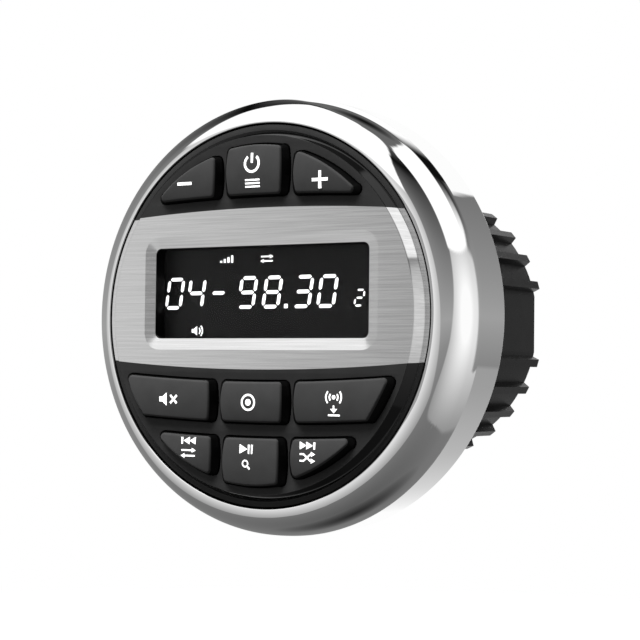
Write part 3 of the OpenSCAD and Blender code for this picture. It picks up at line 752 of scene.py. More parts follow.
def make_lamp(name, place, size, power):
    """Soft lamp that lights the object; reflections see the tent instead."""
    data = bpy.data.lights.new(name, "AREA")
    data.shape = "DISK"
    data.size = size
    data.energy = power
    lamp = add_object(name, data)
    lamp.location = place
    lamp.rotation_mode = "QUATERNION"
    lamp.rotation_quaternion = (-Vector(place)).to_track_quat("-Z", "Y")
    lamp.visible_camera = lamp.visible_glossy = False


make_camera()
make_tent()
make_card()
make_world()
make_floor()
make_lamp("lamp_over", (-0.25, -0.75, 1.5), 1.0, 60)
make_lamp("lamp_left", (-1.3, -0.9, 0.4), 0.9, 5)
make_lamp("lamp_rear", (0.5, 1.4, 1.0), 1.0, 45)


# Bezel: a polished shell, its nose meeting the drafted collar in a faint crease
NOSE_TILT = tan(radians(7))
CREASE_TILT = tan(radians(3))
CREASE_BACK = 11.65 * MM
NOSE_REACH = 7.0 * MM
NOSE_LEN = 9.6 * MM
NOSE_END = 87
NOSE_STEPS = 56
DRAFT_STEPS = 12
BEZEL_WALL = 2.0 * MM
BEZEL_EDGE = 0.35 * MM
BEZEL_STEPS = 640
LIP_EDGE = 0.3 * MM
LIP_DEPTH = 3 * MM


def bezel():
    start = degrees(atan(NOSE_TILT * NOSE_LEN / NOSE_REACH))
    nose_y = CROWN_Y + NOSE_LEN
    nose = arc((LIP_R, nose_y), (NOSE_REACH, -NOSE_LEN), start, NOSE_END, NOSE_STEPS)
    foot_r, foot_y = nose[0]
    run = CROWN_Y + CREASE_BACK - foot_y
    section = round_arc((BEZEL_R - BEZEL_EDGE, COLLAR_REAR_Y - BEZEL_EDGE), BEZEL_EDGE, 90, 0, 8)
    for left in spread(1, 0, DRAFT_STEPS)[:-1]:
        drop = NOSE_TILT * left - (NOSE_TILT - CREASE_TILT) * left ** 2 / 2
        section.append((foot_r + run * drop, foot_y + run * left))
    section += nose
    section += arc((LIP_R + LIP_EDGE, CROWN_Y + LIP_EDGE), (LIP_EDGE, -LIP_EDGE), 90, 180, 6)[1:]
    section += [(LIP_R, RIM_Y + LIP_DEPTH), (LIP_R + BEZEL_WALL, RIM_Y + LIP_DEPTH)]
    skirt_r = BEZEL_R - BEZEL_WALL
    section += [(skirt_r, nose_y), (skirt_r, COLLAR_REAR_Y)]
    shape = Shape()
    shape.loft(turned(section, BEZEL_STEPS), MATERIALS["chrome_bezel"], wrap=True)
    shape.piece("bezel", sharp=2.5, stands_for="bezel_ring")


bezel()


# Face: the panel above and below the band, and the band itself, with their slopes and rims
FACE_EDGE = 0.15 * MM
FOOT_FILLET = 0.12 * MM
PANEL_TILT = 57.5
BAND_TILT = 56
RIM_OUT_R = RIM_R - 0.12 * MM
SLOPE_ENDS = (0.12, 0.88)
WINDOW_WALL = 2.0 * MM
BEVEL_FOOT = 0.15 * MM
WINDOW_LOW = (LENS_LOW.x + LENS_MARGIN, LENS_LOW.z + LENS_MARGIN)
WINDOW_HIGH = (LENS_HIGH.x - LENS_MARGIN, LENS_HIGH.z - LENS_MARGIN)
WINDOW = box_outline(WINDOW_LOW, WINDOW_HIGH, WINDOW_R)
SOLVE_ROUNDS = 8

# Key rows turn about this place along their edges when they are bowed; key sides swell by a little
ROW_PIVOT = 20 * MM
KEY_SWELL = 0.35 * MM
KEY_INSET = 0.35 * MM


def bow(x):
    """Drop of the band's edges at a distance from the middle."""
    return BAND_BOW_R - sqrt(BAND_BOW_R ** 2 - x ** 2)


def band_angle(radius, edge):
    """Angle where a circle about the axis meets the band's upper or lower edge on the right."""
    z = edge
    for _ in range(SOLVE_ROUNDS):
        z = edge - copysign(bow(sqrt(radius ** 2 - z ** 2)), edge)
    return degrees(asin(z / radius))


def top_angle(radius):
    return band_angle(radius, BAND_HIGH.z)


def low_angle(radius):
    return band_angle(radius, BAND_LOW.z)


def mirror_angle(angle):
    return lambda radius: 180 - angle(radius)


def flat_radius(tilt):
    """Radius where the flat disc ends and its round edge begins, for a slope of a given tilt."""
    turn = radians(tilt)
    bend = FACE_EDGE + FOOT_FILLET
    rise = DISC_H - bend * (1 - cos(turn))
    width = rise / tan(turn) + bend * sin(turn)
    return DISC_R + (SLOPE_W - width) / 2


def disc_edge(radius, first, last):
    """Points (x, z) along the edge of the flat disc."""
    return round_arc((0, 0), radius, first, last, 96)


def band_edge(radius, edge, way, steps=24):
    """Points (x, z) along an edge of the band inside a circle, ends left out. way 1 runs towards +X."""
    reach = way * radius * cos(radians(band_angle(radius, edge)))
    return [(x, edge - copysign(bow(x), edge)) for x in spread(-reach, reach, steps)[1:-1]]


def rim_strip(shape, first, last, depth, tilt, slope_look, rim_look, steps):
    """Slope and rim between two angles that depend on the radius."""
    flat_r = flat_radius(tilt)
    foot_r = DISC_R + SLOPE_FOOT_R - flat_r
    top = arc((flat_r, DISC_Y + FACE_EDGE), (FACE_EDGE, -FACE_EDGE), 90, 90 - tilt, 8)
    foot = arc((foot_r, RIM_Y - FOOT_FILLET), (-FOOT_FILLET, FOOT_FILLET), 90 - tilt, 90, 8)
    slope = top + [straight(top[-1], foot[0], share) for share in SLOPE_ENDS] + foot
    rim = [foot[-1], (RIM_OUT_R - FACE_EDGE / 2, RIM_Y), (RIM_OUT_R, RIM_Y + FACE_EDGE / 2)]
    back = [(RIM_OUT_R, RIM_Y + depth), (SLOPE_FOOT_R - depth, RIM_Y + depth), (flat_r, DISC_Y + depth)]
    for section, look in ((slope, slope_look), (rim + back, rim_look)):
        shape.loft(turned(section, steps, first, last), look, closed=False, ends=False)


def row_sizes(middle, side):
    """Low z, high z, the middle key's half width and the side key's inner x of a row's key tops."""
    low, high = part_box(middle)
    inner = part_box(side)[0].x + FLANGE_MARGIN
    return low.z + FLANGE_MARGIN, high.z - FLANGE_MARGIN, high.x - FLANGE_MARGIN, inner


TOP_ROW, MIDDLE_ROW, BOTTOM_ROW = range(3)
KEY_ROWS = (
    row_sizes("key_power", "key_volume_up"),
    row_sizes("key_select", "key_source"),
    row_sizes("key_play", "key_next"),
)
KEYS = {
    "volume_down": (TOP_ROW, -1), "power": (TOP_ROW, 0), "volume_up": (TOP_ROW, 1),
    "mute": (MIDDLE_ROW, -1), "select": (MIDDLE_ROW, 0), "source": (MIDDLE_ROW, 1),
    "previous": (BOTTOM_ROW, -1), "play": (BOTTOM_ROW, 0), "next": (BOTTOM_ROW, 1),
}


def row_edge(edge, x):
    """Height of a key row's edge, bowed like the band's edge next to it."""
    return edge - copysign(1, edge) * (bow(x) - bow(ROW_PIVOT))


def row_end(edge, inset, reach):
    """Point where a row's inset edge meets the circle that ends its side keys."""
    z = edge + inset
    for _ in range(SOLVE_ROUNDS):
        x = sqrt(reach ** 2 - z ** 2)
        z = row_edge(edge, x) + inset
    return x, z


def bowed_run(a, b, share):
    """Line along a row's bowed edge."""
    x = a[0] + (b[0] - a[0]) * share
    return x, a[1] - copysign(1, a[1]) * (bow(x) - bow(a[0]))


def round_run(a, b, share):
    """Line along a circle about the axis."""
    first, last = atan2(a[1], a[0]), atan2(b[1], b[0])
    last += tau * ceil((first - last) / tau)
    turn = first + (last - first) * share
    return hypot(*a) * cos(turn), hypot(*a) * sin(turn)


def swelling_run(a, b, share):
    """Upright line that swells outwards in the middle."""
    x, z = straight(a, b, share)
    return x + copysign(1, b[1] - a[1]) * KEY_SWELL * 4 * share * (1 - share), z


def key_outline(row, side):
    """Outline of a key top, from its corners and the line that follows each of them."""
    low, high, half, inner = KEY_ROWS[row]
    r = KEY_CORNER_R
    reach = FIELD_R - r - (KEY_INSET if side else 0)
    right = half - r - KEY_INSET
    left = inner + r + KEY_INSET if side else -right

    def low_at(x):
        return x, row_edge(low, x) + r

    def high_at(x):
        return x, row_edge(high, x) - r

    def rim_at(x):
        return x, copysign(sqrt(reach ** 2 - x ** 2), low)

    foot, foot_run = (rim_at, round_run) if row == BOTTOM_ROW else (low_at, bowed_run)
    head, head_run = (rim_at, round_run) if row == TOP_ROW else (high_at, bowed_run)
    below, above = [(foot(left), foot_run)], [(head(left), swelling_run)]
    if not side:
        below.append((foot(right), swelling_run))
        above.insert(0, (head(right), head_run))
    if side and row != BOTTOM_ROW:
        below.append((row_end(low, r, reach), round_run))
    if side and row != TOP_ROW:
        above.insert(0, (row_end(high, -r, reach), bowed_run))
    corners, paths = zip(*below, *above)
    outline = rounded(corners, r, paths)
    return mirrored(outline) if side < 0 else outline


OPENING_EDGE = 0.1 * MM
FOOT_LEVEL = 0.2 * MM
FOOT_UPRIGHT = 0.9 * MM + KEY_INSET
FLANGE_OVER = 0.4 * MM


def key_margin(extra):
    """Margin round a key's foot: narrow along level edges, wide along upright ones."""
    return lambda nx: FOOT_LEVEL + (FOOT_UPRIGHT - FOOT_LEVEL) * nx ** 2 + extra


def face_panel():
    plate = MATERIALS["face_black"]
    shape = Shape()
    back_y = DISC_Y + FACE_T
    wall, widened = key_margin(KEY_FIT), key_margin(KEY_FIT + OPENING_EDGE)
    openings = [(row, key_outline(row, side)) for row, side in KEYS.values()]
    flat_r = flat_radius(PANEL_TILT)
    top, low = top_angle(flat_r), low_angle(flat_r)
    upper = disc_edge(flat_r, top, 180 - top) + band_edge(flat_r, BAND_HIGH.z, 1)
    lower = disc_edge(flat_r, 180 - low, 360 + low) + band_edge(flat_r, BAND_LOW.z, -1)
    for outer, rows in ((upper, (TOP_ROW,)), (lower, (MIDDLE_ROW, BOTTOM_ROW))):
        holes = [grown(outline, widened) for row, outline in openings if row in rows]
        for y in (DISC_Y, back_y):
            shape.add(*filled([outer] + holes, y), plate)
    edge = arc((OPENING_EDGE, OPENING_EDGE), (-OPENING_EDGE, -OPENING_EDGE), 90, 0, 4)
    for _, outline in openings:
        shape.skin(outline, [(key_margin(KEY_FIT + margin), DISC_Y + drop) for margin, drop in edge], plate)
        # Opening walls in the near-black painted shade
        shape.skin(outline, [(wall, DISC_Y + OPENING_EDGE), (wall, back_y), (widened, back_y)], RECESS_SHADE)
    for first, last, steps in ((top_angle, mirror_angle(top_angle), 160),
                               (mirror_angle(low_angle), lambda radius: 360 + low_angle(radius), 200)):
        rim_strip(shape, first, last, FACE_T, PANEL_TILT, SLOPE_GLOSS, plate, steps)
    # Window wall under the bevel in the near-black painted shade
    frame_section = [(0, DISC_Y + BEVEL_DEPTH), (0, LENS_LOW.y), (WINDOW_WALL, LENS_LOW.y),
                     (WINDOW_WALL, DISC_Y + BAND_T + BEVEL_DEPTH)]
    shape.skin(WINDOW, frame_section, RECESS_SHADE, wrap=True)
    shape.piece("face_panel_skin", sharp=50, stands_for="face_panel")


def fascia():
    plate = MATERIALS["fascia_aluminium"]
    shape = Shape()
    back_y = DISC_Y + BAND_T
    flat_r = flat_radius(BAND_TILT)
    top, low = top_angle(flat_r), low_angle(flat_r)
    outer = disc_edge(flat_r, low, top) + band_edge(flat_r, BAND_HIGH.z, -1)
    outer += disc_edge(flat_r, 180 - top, 180 - low) + band_edge(flat_r, BAND_LOW.z, 1)
    shape.add(*filled([outer, grown(WINDOW, BEVEL_W)], DISC_Y), plate)
    shape.add(*filled([outer, grown(WINDOW, 0)], back_y), plate)
    shape.skin(WINDOW, [(BEVEL_W, DISC_Y), (BEVEL_FOOT, DISC_Y + BEVEL_DEPTH), (0, back_y)], plate)
    for first, last in ((low_angle, top_angle), (mirror_angle(top_angle), mirror_angle(low_angle))):
        rim_strip(shape, first, last, BAND_T, BAND_TILT, POLISHED, plate, 96)
    shape.piece("fascia_band", sharp=8, stands_for="fascia_plate")


face_panel()
fascia()


# Keys: soft-touch caps with a rounded edge and a slight crown; their sides below are painted near-black as
# shade
MARK_PROUD = 0.03 * MM
KEY_Y = KEY_LOW.y + MARK_PROUD
KEY_ROUND = 0.55 * MM
KEY_CROWN = 0.6 * MM
KEY_FOOT_RISE = 0.3 * MM
KEY_TAPER_DROP = 0.5 * MM
CAP_GRID = 0.9 * MM


def crown_of(outline):
    """Depth of a key's crowned top below its highest line, by z."""
    places = [z for (_, z), _ in outline]
    middle, half = (max(places) + min(places)) / 2, (max(places) - min(places)) / 2
    return lambda z: KEY_CROWN * ((z - middle) / half) ** 2


def cap(loop, depth):
    """Crowned face inside a loop: a fine net of points, each set at its own depth."""
    rim = [Vector((x, z)) for x, _, z in loop]
    xs, zs = [p.x for p in rim], [p.y for p in rim]
    inner = []
    for i in range(1, int((max(xs) - min(xs)) / CAP_GRID)):
        for j in range(1, int((max(zs) - min(zs)) / CAP_GRID)):
            inner.append(Vector((min(xs) + i * CAP_GRID, min(zs) + j * CAP_GRID)))
    count = len(rim)
    edges = [(i, (i + 1) % count) for i in range(count)]
    points, _, faces, *_ = delaunay_2d_cdt(rim + inner, edges, [], 1, MERGE)
    return [(p.x, KEY_Y + depth(p.y), p.y) for p in points], [tuple(f) for f in faces]


def key_cap(name, row, side):
    outline = key_outline(row, side)
    crown = crown_of(outline)
    soft = MATERIALS["key_soft"]
    foot_y = DISC_Y - KEY_FOOT_RISE
    taper_y = KEY_Y + KEY_TAPER_DROP
    round_y = KEY_Y + KEY_ROUND
    round_margin = FOOT_LEVEL * (round_y - taper_y) / (foot_y - taper_y)
    flange_y = KEY_HIGH.y - KEY_FLANGE_T
    foot, flange = key_margin(0), key_margin(FLANGE_OVER)
    walls = [(flange, KEY_HIGH.y), (flange, flange_y), (foot, flange_y), (foot, foot_y),
             (round_margin, lambda z: round_y + crown(z))]
    turn = arc((round_margin - KEY_ROUND, KEY_ROUND), (KEY_ROUND, -KEY_ROUND), 0, 90, 8)
    edge = [(margin, lambda z, drop=drop: KEY_Y + drop + crown(z)) for margin, drop in turn]
    back = outline_loop(outline, *walls[0])
    shape = Shape()
    # Sides and back of the key in the near-black painted shade
    shape.skin(outline, walls, KEY_WALL_SHADE)
    shape.add(back, [tuple(range(len(back)))], KEY_WALL_SHADE)
    shape.skin(outline, edge, soft)
    shape.add(*cap(outline_loop(outline, *edge[-1]), crown), soft)
    shape.piece(f"cap_{name}", sharp=40, body=f"key_{name}_body", stands_for=f"key_{name}")
    return crown


# Legends and display marks: flat polygons in millimetres
MARK_SUNK = 0.05 * MM
BOLD = 0.75
POWER_STROKE = 0.62
STROKE = 0.42
FINE = 0.34
ARROW = 1.0
DOT = 1.0
SPEAKER = [(-1.3, -0.45), (-0.6, -0.45), (0.3, -1.15), (0.3, 1.15), (-0.6, 0.45), (-1.3, 0.45)]


def bar(x0, z0, x1, z1, width):
    length = hypot(x1 - x0, z1 - z0)
    nx, nz = (z0 - z1) / length * width / 2, (x1 - x0) / length * width / 2
    return [(x0 - nx, z0 - nz), (x1 - nx, z1 - nz), (x1 + nx, z1 + nz), (x0 + nx, z0 + nz)]


def ring(x, z, radius, width, start=0, end=360, steps=32):
    """Strip along an arc, as small polygons."""
    outer = round_arc((x, z), radius + width / 2, start, end, steps)
    inner = round_arc((x, z), radius - width / 2, start, end, steps)
    return [[outer[i], outer[i + 1], inner[i + 1], inner[i]] for i in range(steps)]


def disc(x, z, radius, steps=24):
    return round_arc((x, z), radius, 0, 360, steps)[:-1]


def triangle(x, z, size, way=1):
    """Solid arrow head with its point to the right, or to the left."""
    return [(x - way * size / 2, z - size / 2), (x + way * size / 2, z), (x - way * size / 2, z + size / 2)]


def placed(polygons, x, z, factor=1.0):
    """Polygons drawn about the origin, enlarged and moved to a place."""
    return [[(x + px * factor, z + pz * factor) for px, pz in polygon] for polygon in polygons]


def repeat_mark():
    """Two arrows that chase each other round a slot."""
    polygons = []
    for way in (1, -1):
        z = 0.55 * way
        polygons += [bar(-1.7 * way, z, 0.9 * way, z, FINE), triangle(1.4 * way, z, ARROW, way)]
    return polygons


def shuffle_mark():
    """Two crossing arrows."""
    polygons = []
    for way in (1, -1):
        z = 0.65 * way
        polygons += [bar(-1.8, z, -0.9, z, FINE), bar(-0.95, 0.7 * way, 0.75, -0.7 * way, FINE)]
        polygons.append(triangle(1.3, z, ARROW))
    return polygons


def skip_mark(way):
    """Two arrow heads against a bar."""
    heads = [triangle(x * way, 0, 1.5, way) for x in (-1.3, 0.2)]
    return heads + [bar(1.3 * way, -0.7, 1.3 * way, 0.7, 0.4)]


def mute_mark():
    cross = [bar(0.5, -0.7 * way, 1.9, 0.7 * way, 0.4) for way in (1, -1)]
    return placed([SPEAKER], -0.6, 0) + cross


def source_mark():
    """Waves from an aerial, over an arrow into a tray."""
    waves = []
    for radius in (1.15, 2.1):
        for start in (-40, 140):
            waves += ring(0, 0, radius, 0.4, start, start + 80, 10)
    arrow = [[(-1.0, -2.7), (0.0, -3.7), (1.0, -2.7)], bar(0, -1.9, 0, -2.9, STROKE)]
    return waves + [disc(0, 0, 0.5), bar(-1.6, -4.2, 1.6, -4.2, STROKE)] + arrow


def play_mark():
    """Play and pause, over a looking glass."""
    pause = [bar(x, -1.1, x, 1.1, STROKE) for x in (0.6, 1.5)]
    search = ring(-0.3, 0.25, 0.75, 0.36) + [bar(0.2, -0.3, 1.0, -1.05, 0.45)]
    return [triangle(-0.9, 0, 2.2)] + pause + placed(search, 0, -3.7)


def power_mark():
    """Power sign, over the three lines of a menu."""
    sign = ring(0, 0, 2.0, POWER_STROKE, 128, 412) + [bar(0, 0.1, 0, 2.5, POWER_STROKE)]
    return sign + [bar(-1.95, z, 2.25, z, STROKE) for z in (-4.0, -4.8, -5.6)]


def legend_marks():
    """Standard symbols on the keys, in place of words."""
    previous = placed(skip_mark(-1), 0, 1.3) + placed(repeat_mark(), 0.3, -1.2)
    following = placed(skip_mark(1), 0, 1.2) + placed(shuffle_mark(), -0.2, -1.1)
    return {
        "volume_down": [bar(-22.4, 32.4, -18.1, 32.4, BOLD)],
        "power": placed(power_mark(), -0.25, 36.4),
        "volume_up": [bar(16.9, 31.6, 21.3, 31.6, BOLD), bar(19.1, 29.5, 19.1, 33.7, BOLD)],
        "mute": placed(mute_mark(), -24.4, -20.6, 1.4),
        "select": placed(ring(0, 0, 1.8, 0.5) + [disc(0, 0, 0.8)], -0.5, -21.0),
        "source": placed(source_mark(), 23.6, -19.4),
        "previous": placed(previous, -18.4, -32.2, 1.2),
        "play": placed(play_mark(), -0.8, -32.2),
        "next": placed(following, 16.8, -32.3, 1.2),
    }


def marks(name, polygons, depth, look, body=CHASSIS):
    """Thin raised marks from polygons, seated at a depth that depends on z."""
    shape = Shape()
    for polygon in polygons:
        points = [(x * MM, z * MM) for x, z in polygon]
        low, high = min(z for _, z in points), max(z for _, z in points)
        depths = [depth(z) for z in (low, (low + high) / 2, high)]
        back, front = max(depths) + MARK_SUNK, min(depths) - MARK_PROUD
        shape.loft([[(x, back, z) for x, z in points], [(x, front, z) for x, z in points]], look)
    shape.piece(name, sharp=30, body=body)


LEGENDS = legend_marks()
for key_name, (key_row, key_side) in KEYS.items():
    key_crown = key_cap(key_name, key_row, key_side)
    marks(f"legend_{key_name}", LEGENDS[key_name], lambda z, crown=key_crown: KEY_Y + crown(z), LEGEND,
          body=f"key_{key_name}_body")


# Display: lens over dark glass, with lit segments between them
DIGIT_W = 4.3
DIGIT_H = 7.1
DIGIT_Z = 2.2
DIGIT_SLANT = 0.16
SMALL_DIGIT = 0.52
SEGMENT_W = 0.85
SEGMENT_GAP = 0.3
SEGMENT_ENDS = {
    "a": ((0, 1), (1, 1)), "b": ((1, 0.5), (1, 1)), "c": ((1, 0), (1, 0.5)), "d": ((0, 0), (1, 0)),
    "e": ((0, 0), (0, 0.5)), "f": ((0, 0.5), (0, 1)), "g": ((0, 0.5), (1, 0.5)),
}
DIGIT_SEGMENTS = {
    "0": "abcdef", "2": "abged", "3": "abgcd", "4": "fgbc", "8": "abcdefg", "9": "abcdfg", "-": "g",
}
LEVEL_STEP = 1.1
DISPLAY_GAP = 0.1 * MM
LENS_EDGE = 0.2 * MM
SEGMENT_LIFT = 0.02 * MM


def segment(start, end, width, slant_from):
    """One lit bar with pointed ends, leaning to the right."""
    dx, dz = end[0] - start[0], end[1] - start[1]
    length = hypot(dx, dz)
    ux, uz = dx / length, dz / length
    a, b, tip = SEGMENT_GAP, length - SEGMENT_GAP, width / 2
    local = [(a, 0), (a + tip, -tip), (b - tip, -tip), (b, 0), (b - tip, tip), (a + tip, tip)]
    points = [(start[0] + ux * u - uz * v, start[1] + uz * u + ux * v) for u, v in local]
    return [(x + DIGIT_SLANT * (z - slant_from), z) for x, z in points]


def digit(symbol, x, scale=1.0):
    """Segments of a digit, x at its lower left corner."""
    width, height = DIGIT_W * scale, DIGIT_H * scale
    made = []
    for name in DIGIT_SEGMENTS[symbol]:
        start, end = [(x + px * width, DIGIT_Z + pz * height) for px, pz in SEGMENT_ENDS[name]]
        made.append(segment(start, end, SEGMENT_W * scale, DIGIT_Z))
    return made


def display_marks():
    """A preset number, a frequency in plain digits, and small signs for signal, repeat and sound."""
    made = []
    for symbol, x in zip("04-9830", (-31.0, -24.4, -17.6, -8.9, -1.6, 7.3, 14.2)):
        made += digit(symbol, x)
    made += digit("2", 24.4, SMALL_DIGIT)
    made.append(bar(4.6, 2.3, 5.6, 2.3, DOT))
    signal = [bar(i * LEVEL_STEP, 0, i * LEVEL_STEP, 0.5 + 0.42 * i, 0.6) for i in range(4)]
    sound = [SPEAKER] + [p for r in (1.0, 1.75) for p in ring(0.2, 0, r, 0.3, -45, 45, 8)]
    return made + placed(signal, -14.2, 13.2) + placed(repeat_mark(), -0.6, 13.9) + placed(sound, -21.6, -3.6)


def display():
    lens = box_outline((LENS_LOW.x, LENS_LOW.z), (LENS_HIGH.x, LENS_HIGH.z), WINDOW_R + LENS_MARGIN)
    stages = [(0, LENS_HIGH.y - DISPLAY_GAP), (0, LENS_LOW.y + LENS_EDGE), (-LENS_EDGE, LENS_LOW.y)]
    shape = Shape()
    shape.skin(lens, stages, MATERIALS["lens_clear"], ends=True)
    shape.piece("lens", sharp=35, stands_for="display_lens")
    marks("display_segments", display_marks(), lambda z: GLASS_Y - SEGMENT_LIFT, SEGMENT)


display()


# Rear fittings, each in its CAD node's box: threaded studs, cable gland and antenna socket
THREAD_PITCH = 0.8 * MM
THREAD_DEPTH = 0.42 * MM
THREAD_STEPS = 28
THREAD_ROWS = 4
THREAD_END = -0.3
STUD_R = 2.5 * MM
STUD_TIP = 1.2 * MM
STUD_NECK_R = 3.0 * MM
STUD_NECK_EDGE = 0.2 * MM
STUD_HEAD_R = 5.0 * MM
STUD_HEAD_EDGE = 0.4 * MM
HEXAGON_CUT = 0.975
FITTING_EDGE = 0.3 * MM
GLAND_BORE_R = 4.5 * MM
GLAND_R = 8.0 * MM
GLAND_FLANGE_T = 3.0 * MM
GLAND_FLANGE_INSET = 0.6 * MM
GLAND_FLANGE_BACK = 0.5 * MM
GLAND_WAIST = 0.4 * MM
GLAND_WAIST_LEN = 0.7 * MM
GLAND_TAPER = 5.0 * MM
GLAND_LIP = 1.6 * MM
GLAND_RIB_DEPTH = 0.55 * MM
GLAND_RIBS = 14
RIB_EDGE = (0.45, 0.5)
BUSH_BACK = 0.5 * MM
BUSH_LIP = 0.7 * MM
BUSH_LEN = 5 * MM
BUSH_TAPER = 0.6 * MM
SOCKET_R = 6.0 * MM
SOCKET_FLANGE_T = 2.0 * MM
SOCKET_BORE_R = 4.7 * MM
SOCKET_FLOOR = 2.0 * MM
SOCKET_GROOVES = (2.2 * MM, 3.4 * MM)
SOCKET_GROOVE = [(0.0, 0.0), (0.25 * MM, 0.15 * MM), (0.25 * MM, 0.45 * MM), (0.0, 0.6 * MM)]
SOCKET_ROUND = 0.1 * MM
INSULATOR_T = 3 * MM
CONTACT_R = 1.7 * MM
CONTACT_BORE_R = 1.1 * MM
CONTACT_BACK = 4 * MM


def hexagon(across, inset=0.0):
    """Radius of a hexagon by angle, from its width over corners, its corners cut round."""
    apothem = across / 2 * cos(pi / 6) - inset
    corner = across / 2 * HEXAGON_CUT - inset
    return lambda a: min(apothem / cos(a % (pi / 3) - pi / 6), corner)


def ribbed(radius, depth, count):
    """Radius of a round with shallow grip grooves."""
    return lambda a: radius - depth * rises(cos(a * count), RIB_EDGE)


def thread(x, start_y, end_y):
    """Loops of a helix round a stud, its last turn below the crest."""
    rows = int((end_y - start_y) / THREAD_PITCH) * THREAD_ROWS
    loops = []
    for row in range(rows):
        crest = 1.0 if row % THREAD_ROWS in (2, 3) else 0.0
        if row >= rows - THREAD_ROWS:
            crest = THREAD_END
        turn = round_arc((x, 0), STUD_R - THREAD_DEPTH * (1 - crest), 0, 360, THREAD_STEPS)
        loops.append([(px, start_y + THREAD_PITCH * (row / THREAD_ROWS + i / THREAD_STEPS), pz)
                      for i, (px, pz) in enumerate(turn)])
    return loops


def threaded_stud(shape, x, head_y, end_y):
    """Stud with a real helix, a neck through the cover and a hexagon head behind it."""
    steel = MATERIALS["screw_steel"]
    tip_y = end_y - STUD_TIP
    core = STUD_R - THREAD_DEPTH
    tip = [(core, tip_y - THREAD_PITCH), (core, end_y - STUD_TIP / 2), (core - STUD_TIP / 2, end_y)]
    neck = [(STUD_NECK_R, COVER_LOW.y), (STUD_NECK_R, REAR_Y - STUD_NECK_EDGE),
            (STUD_NECK_R - STUD_NECK_EDGE, REAR_Y)]
    side = hexagon(2 * STUD_HEAD_R)
    head = [(hexagon(2 * STUD_HEAD_R, STUD_HEAD_EDGE), head_y), (side, head_y + STUD_HEAD_EDGE),
            (side, COVER_LOW.y)]
    shape.loft(thread(x, REAR_Y - THREAD_PITCH, tip_y), steel, closed=False, ends=False)
    shape.spin(tip, steel, (x, 0), THREAD_STEPS)
    shape.spin(neck, steel, (x, 0), 48)
    shape.spin(head, steel, (x, 0), 48)


def spun(name, slot, section, centre, sharp, steps=96, wrap=True, stands_for=None):
    """A round piece from its section; wrap leaves its bore open."""
    shape = Shape()
    shape.spin(section, MATERIALS[slot], centre, steps, wrap)
    shape.piece(name, sharp, stands_for=stands_for)


def studs():
    low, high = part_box("mounting_studs")
    shape = Shape()
    for x in (low.x + STUD_HEAD_R, high.x - STUD_HEAD_R):
        threaded_stud(shape, x, low.y, high.y)
    shape.piece("threaded_studs", sharp=35, stands_for="mounting_studs")


def gland():
    low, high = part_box("cable_gland")
    centre = (0.0, (low.z + high.z) / 2)
    across = high.x - low.x
    flange_y = REAR_Y + GLAND_FLANGE_T
    waist_r = GLAND_R - GLAND_WAIST
    waist_y = flange_y + GLAND_WAIST_LEN
    taper_y = high.y - GLAND_TAPER
    mouth_r = GLAND_BORE_R + GLAND_LIP
    ribs = ribbed(GLAND_R, GLAND_RIB_DEPTH, GLAND_RIBS)
    side = hexagon(across)
    flange = [(hexagon(across, FITTING_EDGE), REAR_Y), (side, REAR_Y + FITTING_EDGE),
              (side, flange_y - GLAND_FLANGE_BACK), (hexagon(across, GLAND_FLANGE_INSET), flange_y)]
    grip = [(waist_r, flange_y), (waist_r, waist_y), (ribs, waist_y + GLAND_WAIST),
            (ribs, taper_y - GLAND_WAIST), (GLAND_R, taper_y)]
    dome = arc((mouth_r, taper_y), (GLAND_R - mouth_r, GLAND_TAPER), 0, 90, 8)[1:]
    bore = [(GLAND_BORE_R + FITTING_EDGE, high.y), (GLAND_BORE_R, high.y - FITTING_EDGE),
            (GLAND_BORE_R, low.y)]
    section = [(GLAND_R, low.y), (GLAND_R, REAR_Y)] + flange + grip + dome + bore
    spun("gland_body", "gland_nylon", section, centre, sharp=28, steps=168, stands_for="cable_gland")
    lip_r, lip_y = GLAND_BORE_R - BUSH_LIP, high.y - BUSH_BACK
    bush = [(GLAND_BORE_R, lip_y), (lip_r + FITTING_EDGE, lip_y), (lip_r, lip_y - FITTING_EDGE),
            (lip_r, high.y - BUSH_LEN), (GLAND_BORE_R, high.y - BUSH_LEN - BUSH_TAPER)]
    spun("gland_bush", "seal_rubber", bush, centre, sharp=35)


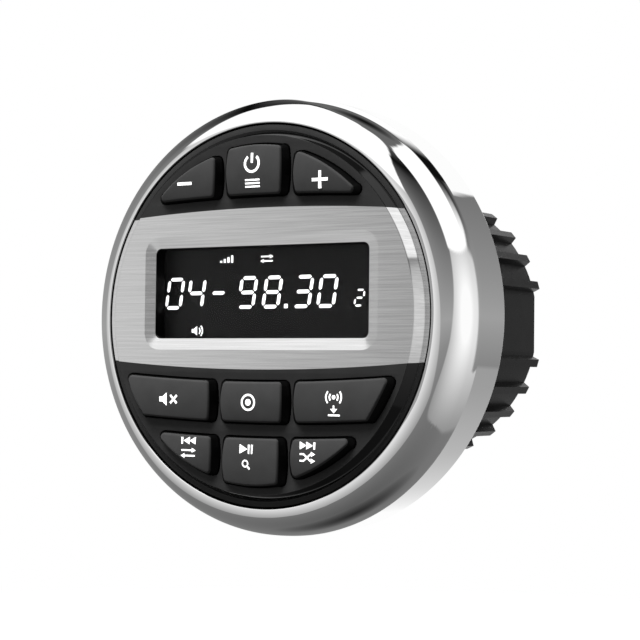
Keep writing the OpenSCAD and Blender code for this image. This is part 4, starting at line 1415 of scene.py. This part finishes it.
def socket():
    low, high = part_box("antenna_socket")
    centre = (0.0, (low.z + high.z) / 2)
    edge = FITTING_EDGE
    flange_r = (high.x - low.x) / 2
    flange_y = REAR_Y + SOCKET_FLANGE_T
    floor_y = low.y + SOCKET_FLOOR
    section = [(SOCKET_R, low.y), (SOCKET_R, REAR_Y), (flange_r, REAR_Y), (flange_r, flange_y - edge),
               (flange_r - edge, flange_y), (SOCKET_R + edge, flange_y), (SOCKET_R, flange_y + edge)]
    for groove in SOCKET_GROOVES:
        section += [(SOCKET_R - depth, flange_y + groove + y) for depth, y in SOCKET_GROOVE]
    section += [(SOCKET_R, high.y - edge), (SOCKET_R - SOCKET_ROUND, high.y - SOCKET_ROUND),
                (SOCKET_R - edge, high.y), (SOCKET_BORE_R + edge, high.y),
                (SOCKET_BORE_R, high.y - edge), (SOCKET_BORE_R, floor_y)]
    spun("socket_body", "socket_nickel", section, centre, sharp=28, wrap=False, stands_for="antenna_socket")
    top_y = floor_y + INSULATOR_T
    insulator = [(SOCKET_BORE_R, floor_y), (SOCKET_BORE_R, top_y - edge), (SOCKET_BORE_R - edge, top_y)]
    spun("socket_insulator", "white_plastic", insulator, centre, sharp=28, wrap=False)
    tip_y = high.y - CONTACT_BACK
    contact = [(CONTACT_R, floor_y), (CONTACT_R, tip_y - edge), (CONTACT_R - edge, tip_y),
               (CONTACT_BORE_R, tip_y), (CONTACT_BORE_R, floor_y)]
    spun("socket_contact", "contact_gold", contact, centre, sharp=28, steps=48)


def soften(node, width):
    """Small round edges on a CAD node."""
    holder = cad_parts[node]
    merge = holder.modifiers.new("flat_faces", "DECIMATE")
    merge.decimate_type = "DISSOLVE"
    merge.angle_limit = radians(1)
    edges = holder.modifiers.new("round_edges", "BEVEL")
    edges.width = width
    edges.segments = 2
    edges.limit_method = "ANGLE"
    edges.angle_limit = radians(35)
    edges.harden_normals = True


studs()
gland()
socket()
soften("rear_housing", 0.3 * MM)
soften("rear_cover", 0.25 * MM)
soften("dash_gasket", 0.25 * MM)


# CAD nodes that stay, each with its slot's finish
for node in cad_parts.values():
    for holder in node.material_slots:
        holder.material = MATERIALS[base_name(holder.material)]

bpy.context.scene.view_settings.view_transform = "Standard"
